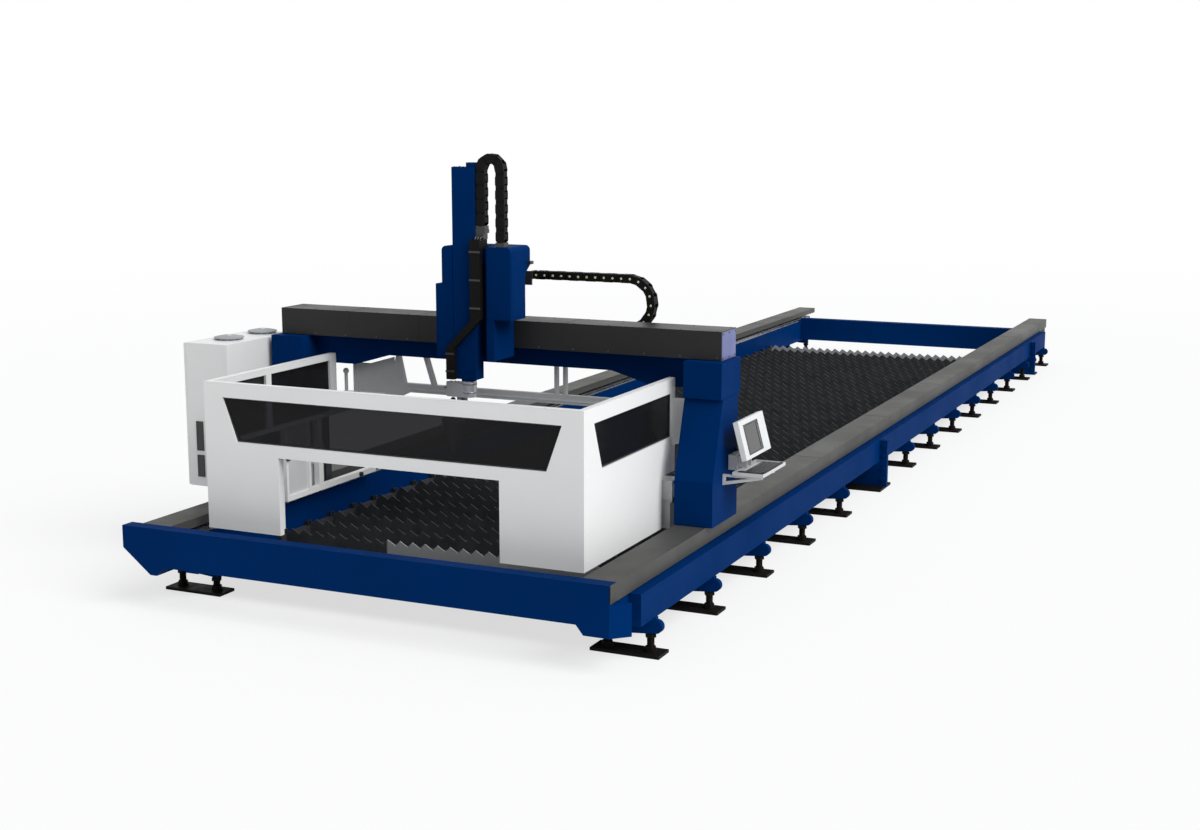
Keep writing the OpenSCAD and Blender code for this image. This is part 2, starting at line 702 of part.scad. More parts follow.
// Light frame below the rear edge of the crossbeam
module rear_header() {
    y0 = xbeam_y1 - 85;
    t = 40;
    knee = 900;
    z1 = header_z + 128;
    color([0.78, 0.78, 0.79]) front() {
        difference() {
            union() {
                box([-encl_half + panel_t, y0, header_z], [-knee, y0 + t, header_z + 35]);
                xz(y0, y0 + t) polygon([
                    [-knee - 90, header_z], [-knee, header_z], [-knee + 140, header_z + 63],
                    [encl_half - panel_t, header_z + 63], [encl_half - panel_t, z1],
                    [-knee + 100, z1], [-knee + 55, xbeam_z - 1], [-knee + 28, xbeam_z - 13],
                    [-knee - 5, z1 + 27]]);
                for (x = [418, 486]) box([x, y0, z1 - 3], [x + 20, y0 + t, xbeam_z]);
                xz(y0, y0 + t) polygon([[-575, z1 - 3], [-545, z1 - 3], [-612, xbeam_z], [-642, xbeam_z]]);
                box([-1242, y0, header_z + 34], [-1216, y0 + t, haunch_z]);
            }
            box([-knee + 120, y0 - 1, header_z + 81], [1200, y0 + 8, header_z + 97]);
        }
        translate([-1318, y0 + t / 2, header_z + 35]) {
            cylinder(d = 26, h = 150);
            translate([0, 0, 150]) sphere(d = 44);
        }
        difference() {
            union() {
                box([-1203, y0 + 14, 1205], [-960, y0 + 24, 1420]);
                xz(y0 + 14, y0 + 24) polygon([[-1203, 1400], [-925, 1400], [-905, 1265], [-895, 1400],
                    [-895, 1480], [-1105, haunch_z - 2], [-1203, haunch_z - 2]]);
                disc_y(-960, y0 + 14, 1265, 120, 10);
                box([-960, y0 + 14, 1265], [-900, y0 + 24, 1420]);
            }
            box([-1300, y0, 1100], [-700, y0 + t, 1205]);
        }
    }
}

module wing_plates() {
    color(white) front() {
        xz(side_y1 - 55, side_y1 - 40) wing_outline();
        mirror([1, 0, 0]) xz(side_y1 - 10, side_y1 + 5) wing_outline();
    }
}
module wing_outline() {
    polygon([[encl_half, 1045], [encl_half + 60, 1060], [encl_half + 95, 1120], [cover_in, 1200],
        [cover_in, 1365], [encl_half, 1365]]);
}

// Control cabinet
cab_x0 = cab_reach - door_t - 2;
cab_x1 = cab_reach - cab_w;
cab_y1 = cab_y0 + cab_d;
hinge_z = [cab_z0 + 150, (cab_z0 + cab_z1) / 2, cab_z1 - 150];
hinge_x = cab_reach - door_t / 2;
hinge_y = cab_y1 + 20;
module cabinet_shell() {
    color(white) front() mirror([1, 0, 0]) difference() {
        union() {
            box([cab_x1, cab_y0, cab_z0], [cab_x0, cab_y1, cab_z1]);
            for (z = hinge_z, s = [-1, 1]) {
                translate([hinge_x, hinge_y, z + s * 40.5 - 20]) cylinder(d = door_t - 2, h = 40);
                zk = z + s * 40.5;
                box([cab_x0 - 22, cab_y1 - 1, zk - 20], [cab_x0 - 2, hinge_y + 5, zk + 20]);
                box([cab_x0 - 20, hinge_y - 5, zk - 20], [hinge_x, hinge_y + 5, zk + 20]);
            }
            for (z = hinge_z) translate([hinge_x, hinge_y, z - 50]) cylinder(d = 8, h = 100);
        }
        box([cab_x1 + cab_t, cab_y0 + cab_t, cab_z0 + cab_t],
            [cab_x0 + 0.01, cab_y1 - cab_t, cab_z1 - cab_t]);
    }
}

// Mounting plate, drive units and wiring ducts inside the cabinet
module cabinet_fittings() {
    color([0.70, 0.71, 0.72]) front() mirror([1, 0, 0]) {
        box([cab_x1 + cab_t, cab_y0 + 50, cab_z0 + 60], [cab_x1 + cab_t + 4, cab_y1 - 50, cab_z1 - 60]);
        for (i = [0:4]) box([cab_x1 + cab_t + 4, cab_y0 + 80 + i * 128, cab_z1 - 420],
            [cab_x1 + cab_t + 190, cab_y0 + 80 + i * 128 + 96, cab_z1 - 120]);
        for (z = [cab_z0 + 100, cab_z0 + 480]) box([cab_x1 + cab_t + 4, cab_y0 + 70, z],
            [cab_x1 + cab_t + 70, cab_y1 - 70, z + 50]);
        box([cab_x1 + cab_t + 4, cab_y0 + 90, cab_z0 + 190],
            [cab_x1 + cab_t + 230, cab_y0 + 380, cab_z0 + 440]);
    }
}

module cabinet_door() {
    color(white) front() mirror([1, 0, 0]) difference() {
        union() {
            box([cab_x0 + 2, cab_y0 + 2, cab_z0 + 3], [cab_reach, cab_y1 - 4, cab_z1 - 3]);
            for (z = hinge_z) {
                translate([hinge_x, hinge_y, z - 20]) cylinder(d = door_t - 2, h = 40);
                box([hinge_x - 4, cab_y1 - 10, z - 20], [hinge_x + 4, hinge_y, z + 20]);
            }
        }
        for (z = hinge_z) translate([hinge_x, hinge_y, z - 21]) cylinder(d = 9, h = 42);
        // Recessed finger pull along the free edge
        box([cab_reach - 8, cab_y0 + 14, 1000], [cab_reach + 1, cab_y0 + 40, 1180]);
    }
}

module cabinet_brackets() {
    color(blue) front() mirror([1, 0, 0]) for (z = [cab_z0 + 80, cab_z1 - 330]) difference() {
        box([leg_x1, leg_y0 + 174, z], [cab_x1, cab_y1 - 20, z + 90]);
        box([leg_x1 - 1, leg_y0 + 160, z + 12], [cab_x1 + 1, cab_y1, z + 78]);
    }
}

// Louvred air inlets on the front of the cabinet
louvre_x = cab_x0 - 69;
module cabinet_louvres() {
    color([0.20, 0.20, 0.21]) front() for (s = [[825, 1040], [632, 792]]) {
        difference() {
            box([-louvre_x, cab_y0 - 7, s[0]], [60 - louvre_x, cab_y0 - eps, s[1]]);
            box([6 - louvre_x, cab_y0 - 8, s[0] + 6], [54 - louvre_x, cab_y0 - 3, s[1] - 6]);
        }
        for (z = [s[0] + 12:20:s[1] - 16]) yz(4 - louvre_x, 56 - louvre_x) polygon([
            [cab_y0 - 4, z + 12], [cab_y0 - 3, z + 12], [cab_y0 - 3, z + 2],
            [cab_y0 - 10, z - 2], [cab_y0 - 10, z]]);
    }
}

// Low round hoods over the roof fans
module roof_hoods() {
    color([0.60, 0.60, 0.60]) front() for (y = [cab_y0 + 280, cab_y1 - 112])
        translate([-cab_x1 - 185, y, cab_z1]) rotate_extrude()
            polygon([[0, 0], [88, 0], [88, 12], [108, 12], [108, 20], [60, 30], [0, 30]]);
}

// Operator console
con_y = leg_y1 - 55;
mon_x = leg_x1 + 110;
key_z = 886;
module console_bracket() {
    y0 = con_y - 87;
    z1 = key_z - 14;
    color([0.80, 0.80, 0.80]) front() {
        box([leg_x1, con_y - 113, key_z + 11], [leg_x1 + 60, con_y + 47, key_z + 111]);
        box([leg_x1 + 60, y0, key_z + 26], [mon_x - 26, y0 + 100, key_z + 99]);
        // Fork that carries the monitor pin
        for (y = [y0, y0 + 90]) box([mon_x - 30, y, key_z + 26], [mon_x + 10, y + 10, key_z + 136]);
        for (y = [con_y - 223, con_y + 15]) xz(y, y + 22) difference() {
            polygon([[leg_x1, z1 - 59], [leg_x1, key_z], [tray_reach - 12, key_z], [tray_reach - 12, z1]]);
            polygon([[leg_x1 + 16, z1 - 34], [leg_x1 + 16, z1], [tray_reach - 90, z1]]);
        }
        disc_y(mon_x, y0, key_z + 122, 16, 100);
    }
}

module keyboard_tray() {
    x0 = leg_x1 + key_tray_gap;
    h = key_tray_w / 2;
    color([0.82, 0.82, 0.82]) front() difference() {
        box([x0, con_y - h, key_z], [tray_reach, con_y + h, key_z + 22]);
        box([x0 + 8, con_y - h + 8, key_z + 8], [tray_reach - 8, con_y + h - 8, key_z + 23]);
    }
}

// Keyboard with 4 rows of 13 keys
module keyboard() {
    x0 = leg_x1 + key_tray_gap + 60;
    x1 = tray_reach - 16;
    h = key_tray_w / 2 - 30;
    px = (x1 - x0 - 15) / 4;
    py = (2 * h - 10) / 13;
    color([0.12, 0.12, 0.12]) front() {
        box([x0, con_y - h, key_z + 8], [x1, con_y + h, key_z + 18]);
        for (i = [0:3], j = [0:12]) translate([x0 + 8 + i * px, con_y - h + 6 + j * py, key_z + 18])
            cube([px - 5, py - 5, 5]);
    }
}

// Hooded flat screen on a tilting pin
module monitor() {
    color([0.85, 0.85, 0.86]) front() translate([mon_x, con_y, key_z + 122]) {
        rotate([0, -mon_lean, 0]) difference() {
            box([24, -mon_w / 2, -30], [24 + mon_t, mon_w / 2, mon_h - 30]);
            box([24 + mon_t - 6, -mon_w / 2 + 85, 6], [25 + mon_t, -mon_w / 2 + 335, mon_h - 76]);
        }
        difference() {
            union() {
                translate([0, -74, 0]) rotate([-90, 0, 0]) cylinder(d = 30, h = 74);
                translate([0, -74, -10]) cube([28, 74, 16]);
            }
            translate([0, -75, 0]) rotate([-90, 0, 0]) cylinder(d = 17, h = 80);
        }
    }
}

// Energy chains
// Stations along a chain path: straight, half turn, straight. Each is [x, z, direction].
// The path starts at (x0, z0) heading along dir0 and turns with radius r after length a.
function chain_pts(a, r, b, pitch) = let(
    turn = 180 * r, n = floor((a + PI * r + b) / pitch + 0.001))
    [for (i = [0:n]) let(s = i * pitch)
        s <= a ? [s, 0, 0]
        : s <= a + PI * r ? let(q = (s - a) / r * 180 / PI) [a + r * sin(q), -r + r * cos(q), -q]
        : [a - (s - a - PI * r), -2 * r, -180]];

// One chain of separate links. The side plates lie outside and inside in turn, so that the links can fold.
// e0 and e1 are how far a plate reaches past its joint at its edges and at its middle.
module chain(pts, h, w, plate, e0, e1) {
    for (i = [0:len(pts) - 2]) {
        p = pts[i];
        d = [pts[i + 1][0] - p[0], pts[i + 1][1] - p[1]];
        l = norm(d);
        outer = i % 2 == 0;
        y0 = outer ? 0 : plate + eps;
        translate([p[0], 0, p[1]]) rotate([0, -atan2(d[1], d[0]), 0]) {
            for (y = [y0, w - plate - y0])
                xz(y, y + plate) polygon([
                    [-e0, -h * 0.5], [l + e0, -h * 0.5], [l + e1, -h * 0.2], [l + e1, h * 0.2],
                    [l + e0, h * 0.5], [-e0, h * 0.5], [-e1, h * 0.2], [-e1, -h * 0.2]]);
            for (z = [-h / 2, h / 2 - plate + 1])
                translate([l / 2 - 3, y0 + plate / 2, z]) cube([6, w - 2 * y0 - plate, plate - 1]);
            // Pin ends stand out of the outer plates
            if (outer) for (x = [0, l]) {
                disc_y(x, -1.5, 0, h * 0.3, plate);
                disc_y(x, w - plate + 1.5, 0, h * 0.3, plate);
            }
        }
    }
}

xch_y0 = xbeam_y1 + 110;
xch_z = (xcover_z + xcover_top) / 2 + 205 + xchain_r;
xch_x0 = 160;
xch_bend = 896;
xch_mid = xchain_r - xlink_h / 2;
xch_floor = xch_z - 2 * xchain_r;

module chain_trough() {
    x0 = 240;
    x1 = 1600;
    zf = xch_floor - eps;
    color(dark) front() {
        difference() {
            box([x0, xch_y0 - 14, zf - 4], [x1, xch_y0 + xlink_w + 14, zf + 40]);
            box([x0 - 1, xch_y0 - 10, zf], [x1 + 1, xch_y0 + xlink_w + 10, zf + 41]);
        }
        // Hangers that pass below the carriage and bolt under the crossbeam
        for (x = [x0 + 60, haunch_in - 260]) {
            box([x, xbeam_y1 - 60, xbeam_z - 12], [x + 40, xch_y0 + xlink_w + 24, xbeam_z]);
            box([x, xch_y0 + xlink_w + 14, xbeam_z - 12], [x + 40, xch_y0 + xlink_w + 24, zf + 30]);
        }
        // Bracket on the rear face of the crossbeam, past the travel of the carriage
        yz(x1 - 220, x1 - 180) polygon([
            [xbeam_y1, zf - 56], [xch_y0 + xlink_w, zf - 44], [xch_y0 + xlink_w, zf - 4],
            [xch_y0 - 14, zf - 4], [xbeam_y1 + 40, zf - 26], [xbeam_y1, zf - 26]]);
    }
}

module x_chain() {
    color([0.10, 0.10, 0.09]) front() translate([xch_x0 + 22, xch_y0, xch_z - xlink_h / 2])
        chain(chain_pts(xch_bend - xch_x0 - 22, xch_mid, xch_bend - 330, xlink),
            xlink_h, xlink_w, 6, 2.6, 21);
}

zch_x0 = ram_x1 + 5;
zch_y0 = car_y0 + 10;
zch_mid = zchain_r - zlink_h / 2;
zch_top = top_z - zchain_r;
gland_z = 2490;
zlink_tip = 16.5;
// The first link stands on the gland, and the anchor on the housing reaches up to the last one
zch_seat = gland_z + zlink_tip + eps;
zch_pts = chain_pts(zch_top - zch_seat, zch_mid, zch_top - car_top - 24, zlink);
zch_end = zch_seat + zch_pts[len(zch_pts) - 1][0] - zlink_tip - eps;
module z_chain() {
    color([0.12, 0.11, 0.10]) front()
        translate([zch_x0 + zlink_h / 2, zch_y0, zch_seat]) rotate([0, -90, 0])
            chain(zch_pts, zlink_h, zlink_w, 6, 2.6, zlink_tip);
}

// Carriage
module carriage_housing() {
    r = 34;
    color(blue) front() difference() {
        union() {
            xz(car_y0, xcover_y - 8) polygon([
                [car_x0 - 50, car_z0], [car_x1 - 129, car_z0], [car_x1 - 129, car_z0 + 280],
                [car_x1, car_z0 + 280], [car_x1, car_top - r], [car_x1 - r, car_top],
                [car_x0 + r, car_top], [car_x0, car_top - r], [car_x0, 2090], [car_x0 - 50, 2090]]);
            disc_y(car_x1 - r, car_y0, car_top - r, 2 * r, xcover_y - 8 - car_y0);
            disc_y(car_x0 + r, car_y0, car_top - r, 2 * r, xcover_y - 8 - car_y0);
        }
        // Channel of the ram and its chain
        box([ram_x0 - 4, car_y0 - 1, car_z0 - 1], [148, slot_y, car_top + 1]);
        // Stepped flank of the right arm
        yz(car_x1 - 120, car_x1 + 1) polygon([
            [car_y0 + 215, car_z0 + 279], [car_y0 + 215, 2160],
            [xcover_y - 7, 2215], [xcover_y - 7, car_z0 + 279]]);
        // Reveal lines between the cover plates
        box([car_x0 - 51, car_y0 - 1, 2088], [car_x0, car_y0 + 3, 2091]);
    }
}

module carriage_saddle() {
    y1 = xbeam_y1 + 60;
    z1 = xcover_top + 10;
    color(blue) front() {
        box([car_x0, xcover_y - 8, z1], [60, y1 + 25, z1 + 25]);
        xz(y1, y1 + 25) polygon([
            [car_x0, xbeam_z + 6], [30, xbeam_z + 6], [30, z1 + 25], [30, 2140], [-60, 2140],
            [-60, z1 + 25], [car_x0, z1 + 25]]);
        for (x = [car_x0 + 10, 20]) yz(x, x + 12) polygon([
            [xcover_y - 8, z1 + 24], [y1 + 10, z1 + 24], [y1 + 10, z1 + 60],
            [xcover_y + 60, 2090], [xcover_y - 8, 2090]]);
    }
}

module x_guide_blocks() {
    color([0.40, 0.41, 0.43]) front() for (x = [car_x0 + 8, -62], z = xg) difference() {
        box([x, xbeam_y1 + 7, z - guide_w / 2 - 13], [x + 80, xbeam_y1 + 60, z + guide_w / 2 + 13]);
        box([x - 1, xbeam_y1 - 1, z - guide_w / 2 - guide_gap],
            [x + 81, xbeam_y1 + guide_h + guide_gap, z + guide_w / 2 + guide_gap]);
    }
}

// Gearbox and servo motor of the cross axis
module x_drive_box() {
    color([0.10, 0.10, 0.11]) front() {
        box([-140, xbeam_y1 + 85, 1545], [-30, xbeam_y1 + 130, 1655]);
        disc_y(-85, xbeam_y1 + 130, 1600, 90, 55);
    }
}

module chain_arm() {
    y1 = xbeam_y1 + 85;
    color([0.08, 0.08, 0.08]) front() {
        box([-50, y1, xch_z - xlink_h - 40], [xch_x0, y1 + 12, xch_z]);
        box([xch_x0 - 22, y1, xch_z - xlink_h], [xch_x0, xch_y0 + xlink_w, xch_z]);
        box([car_x1, xcover_y - 58, 2222], [car_x1 + 30, xcover_y - 14, 2244]);
        // Anchor of the ram chain on top of the housing
        box([zch_x0 + 2 * zch_mid, zch_y0, car_top],
            [zch_x0 + 2 * zch_mid + zlink_h, zch_y0 + zlink_w, zch_end]);
    }
}

module z_guide_blocks() {
    color([0.40, 0.41, 0.43]) front() for (x = zg, z = [1720, 2150]) difference() {
        box([x - 24, ram_y1 + 3, z], [x + 24, slot_y, z + 80]);
        box([x - 11 - guide_gap, ram_y1 - 1, z - 1],
            [x + 11 + guide_gap, ram_y1 + 22 + guide_gap, z + 81]);
    }
}

// Ram
zg = [ram_x0 + 38, ram_x1 - 38];
module ram() {
    color(blue) front() {
        difference() {
            box([ram_x0, car_y0, ram_z0], [ram_x1, ram_y1, ram_z1]);
            box([ram_x0 + 12, car_y0 + 12, ram_z0 - 1], [ram_x1 - 12, ram_y1 - 12, ram_z1 - 12]);
        }
        box([0, car_y0 + 10, ram_z1], [ram_x1 - 4, car_y0 + 70, ram_z1 + 30]);
        difference() {
            translate([swivel_x, swivel_y, ram_z0 - 16]) cylinder(d = ram_d - 2, h = 16);
            translate([swivel_x, swivel_y, ram_z0 - 17]) cylinder(d = 40, h = 18);
        }
    }
}

module z_guide_rails() {
    color(steel) front() for (x = zg)
        box([x - 11, ram_y1, 1600], [x + 11, ram_y1 + 22, ram_z1 - 15]);
}

// Strain relief below the ram chain
module chain_gland() {
    color([0.07, 0.07, 0.07]) front() {
        box([ram_x1, zch_y0, 2400], [ram_x1 + 62, zch_y0 + zlink_w, 2440]);
        box([ram_x1, zch_y0 - 2, 2440], [ram_x1 + 75, zch_y0 + zlink_w, 2466]);
        box([ram_x1, zch_y0, 2466], [ram_x1 + 5 + zlink_h, zch_y0 + zlink_w, gland_z]);
    }
}

// Flat cable duct on the front of the ram
module cable_duct() {
    color([0.13, 0.12, 0.11]) front() {
        xz(car_y0 - 44, car_y0 - 4) polygon([
            [ram_x1 + 58, 2400], [ram_x1 + 58, 1860], [-85, 1655], [-85, ram_z0],
            [-146, ram_z0], [-146, 1650], [ram_x1 - 18, 1850], [ram_x1 - 18, 2400]]);
        // Pads on the face of the ram
        for (p = [[ram_x0 + 1, 1470], [0, 1760], [ram_x1 - 18, 2080], [ram_x1 - 18, 2300]])
            box([p[0], car_y0 - 5, p[1]], [p[0] + 17, car_y0, p[1] + 40]);
        box([ram_x1 + 1, car_y0 - 5, 2330], [ram_x1 + 58, zch_y0 + zlink_w, 2400 - eps]);
    }
}

// Cutting head
module c_axis() {
    z0 = 1312;
    z1 = ram_z0 - 16 - eps;
    color([0.72, 0.73, 0.75]) front() difference() {
        union() {
            translate([swivel_x, swivel_y, z0]) cylinder(d = 104, h = z1 - z0);
            translate([swivel_x, swivel_y, z1 - 1]) cylinder(d = 39, h = 14);
            translate([noz_x, swivel_y, z0]) cylinder(d = 92, h = 96);
            box([noz_x, swivel_y - 46, z0], [swivel_x, swivel_y + 46, z0 + 96]);
        }
        box([noz_x - 10, swivel_y - 60, z0 + 60], [swivel_x + 10, swivel_y - 43, z0 + 63]);
        translate([0, 0, z0 + 96 - 2]) linear_extrude(3) translate([noz_x, swivel_y]) circle(d = 40);
    }
}

arm_x = noz_x + barrel_d / 2 + 8;
module tilt_arm() {
    color([0.66, 0.67, 0.70]) front() {
        difference() {
            union() {
                box([arm_x, swivel_y - 38, tilt_z], [arm_x + 34, swivel_y + 38, 1312 - eps]);
                disc_x(arm_x, swivel_y, tilt_z, 76, 34);
                disc_x(arm_x + 34, swivel_y, tilt_z, 60, 46);
            }
            disc_x(arm_x - 1, swivel_y, tilt_z, 31, 24);
        }
        box([arm_x + 34, swivel_y - 20, tilt_z + 24], [arm_x + 52, swivel_y + 20, 1312 - eps]);
    }
}

// Barrel, collimator steps and tapered shroud, turned about the beam axis
module cutting_head() {
    color([0.78, 0.79, 0.81]) front() {
        translate([noz_x, swivel_y, tilt_z]) rotate_extrude() polygon([
            [0, 56], [30, 56], [32, 48], [barrel_d / 2, 46], [barrel_d / 2, -30], [barrel_d / 2 + 2, -34],
            [barrel_d / 2 + 2, -52], [80, -70], [82, -84], [76, -104], [24, 40 - nozzle_len],
            [24, 26 - nozzle_len], [0, 26 - nozzle_len]]);
        disc_x(noz_x + 10, swivel_y, tilt_z, 30, arm_x + 20 - noz_x - 10);
        translate([noz_x - barrel_d / 2 - 22, swivel_y - 24, tilt_z - 22]) cube([40, 48, 56]);
    }
}

module nozzle() {
    color([0.72, 0.45, 0.20]) front() translate([noz_x, swivel_y, tilt_z - nozzle_len])
        difference() {
            rotate_extrude() polygon([[0, 26 - eps], [18, 26 - eps], [18, 18], [8, 0], [0, 0]]);
            translate([0, 0, -1]) cylinder(d = 3, h = 30);
        }
}

// Output
front_beam();
rear_beam();
left_rail();
right_rail();
left_rail_cover();
right_rail_cover();
joint_bolts();
end_stops();
y_guides();
foot_lugs();
foot_studs();
foot_plates();
bed_bearers();
chip_tray();
bed_slats();
left_leg();
right_leg();
crossbeam();
beam_end_caps();
beam_cover();
x_guides();
y_guide_blocks();
y_drive_housings();
front_panel();
front_window();
right_panel();
right_window();
left_frame();
left_windows();
left_infill();
frame_knobs();
rear_header();
wing_plates();
cabinet_shell();
cabinet_fittings();
cabinet_brackets();
cabinet_louvres();
roof_hoods();
console_bracket();
keyboard_tray();
keyboard();
chain_trough();
x_chain();
carriage_housing();
carriage_saddle();
x_guide_blocks();
x_drive_box();
chain_arm();
z_guide_blocks();
ram();
z_guide_rails();
chain_gland();
cable_duct();
z_chain();
c_axis();
tilt_arm();
cutting_head();
nozzle();
cabinet_door();
monitor();
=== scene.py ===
"""Gantry laser cutting machine for steel beams, dressed for the studio.

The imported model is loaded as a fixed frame. Each sub-assembly class adds the sheet edges, fasteners,
seals, glands and fittings that the solids leave out, and gives its own nodes their finishes.
The frame is in metres, with +Y along the bed, +X to the operator console and +Z up. Sizes in this file
are in millimetres, and places are given from the machine's centreline, its front face and the floor.
"""
import logging
import math
from dataclasses import dataclass
from enum import Enum
from functools import cache, partial
from typing import Callable, Sequence

import bmesh
import bpy
from mathutils import Matrix, Vector


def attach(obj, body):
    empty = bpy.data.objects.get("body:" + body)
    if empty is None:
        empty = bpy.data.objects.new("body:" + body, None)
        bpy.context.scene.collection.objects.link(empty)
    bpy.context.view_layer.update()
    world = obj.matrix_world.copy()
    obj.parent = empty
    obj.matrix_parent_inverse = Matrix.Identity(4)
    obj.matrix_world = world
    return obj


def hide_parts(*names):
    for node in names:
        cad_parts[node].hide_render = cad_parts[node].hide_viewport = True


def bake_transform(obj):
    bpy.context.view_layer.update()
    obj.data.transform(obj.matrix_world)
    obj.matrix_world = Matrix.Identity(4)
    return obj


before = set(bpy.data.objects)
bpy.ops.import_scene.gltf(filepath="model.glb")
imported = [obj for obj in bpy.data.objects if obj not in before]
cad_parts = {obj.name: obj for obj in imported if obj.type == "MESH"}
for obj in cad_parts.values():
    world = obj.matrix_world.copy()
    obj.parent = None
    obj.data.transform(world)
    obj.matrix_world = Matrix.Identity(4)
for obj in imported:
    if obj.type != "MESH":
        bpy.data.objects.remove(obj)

LOG = logging.getLogger("laser_gantry")
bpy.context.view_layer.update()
MM = 0.001
# Where the machine's centreline and the front face of its base lie in the frame.
CENTRE_X = 0.0665
FRONT_Y = -7.110
RIGHT = Vector((1, 0, 0))
LEFT = Vector((-1, 0, 0))
BACK = Vector((0, 1, 0))
AHEAD = Vector((0, -1, 0))
UP = Vector((0, 0, 1))
DOWN = Vector((0, 0, -1))
SIDES = (-1, 1)
# Distance of the legs' outer faces from the centreline.
LEG_OUT = 1767.0
Pair = tuple[float, float]
Point = tuple[float, float, float]
Colour = tuple[float, float, float, float]
Tree = bpy.types.NodeTree
Socket = bpy.types.NodeSocket


def at(x: float, y: float, z: float) -> Vector:
    """Return a point of the frame for a place on the machine.

    Args:
        x: Distance to the right of the machine's centreline.
        y: Distance behind the front face of the base.
        z: Height above the floor.

    Returns:
        The point in metres.
    """
    return Vector((x / 1000 + CENTRE_X, y / 1000 + FRONT_Y, z / 1000))


# Materials

# Noise values between which a patch of the second colour fades in, and between which the roughness changes.
PATCH_EDGES = (0.36, 0.68)
ROUGH_EDGES = (0.3, 0.7)
# Height in metres below which dust gathers, size of its spots in millimetres, and its colour.
DUST_TOP, DUST_MM, DUST = 0.34, 70.0, "#6B655C"
# Width over which the painted highlight of a slat row ends, in metres.
HIGHLIGHT_EDGE = 0.01


def linear(code: str) -> Colour:
    """Turn an sRGB hex colour into the linear colour that a shader takes.

    Args:
        code: Colour as "#RRGGBB".

    Returns:
        Linear red, green and blue, and an opacity of 1.
    """
    parts = [int(code[i:i + 2], 16) / 255 for i in (1, 3, 5)]
    r, g, b = (c / 12.92 if c <= 0.04045 else ((c + 0.055) / 1.055) ** 2.4 for c in parts)
    return (r, g, b, 1.0)


def per_metre(size: float) -> float:
    """Return the texture scale that repeats a pattern after a size in millimetres."""
    return 1000.0 / size


def add_node(tree: Tree, kind: str, inputs: dict[str | int, object] | None = None,
             **settings: object) -> bpy.types.Node:
    """Add one shader node with its settings and inputs.

    Args:
        tree: Node tree to add to.
        kind: Blender's node type name without its ShaderNode prefix.
        inputs: Input name or index to its value, or to the output socket that feeds it.
        **settings: Properties of the node.

    Returns:
        The new node.
    """
    node = tree.nodes.new("ShaderNode" + kind)
    for key, value in settings.items():
        setattr(node, key, value)
    for key, value in (inputs or {}).items():
        if isinstance(value, Socket):
            tree.links.new(value, node.inputs[key])
        else:
            node.inputs[key].default_value = value
    return node


def new_material(name: str) -> bpy.types.Material:
    """Make a material whose node tree is empty.

    Args:
        name: Name of the material.

    Returns:
        The new material.
    """
    material = bpy.data.materials.new(name)
    material.use_nodes = True
    material.node_tree.nodes.clear()
    return material


class Grain(Enum):
    """How the surface of a finish was left by its process."""

    ORANGE_PEEL = "sprayed powder that flowed out in the oven"
    TEXTURED = "wrinkled powder coat"
    BRUSHED = "long scratches of a belt grinder"
    MILL = "hot rolled skin with scale"
    MOULDED = "spark-eroded mould texture"
    PLAIN = "smooth skin"


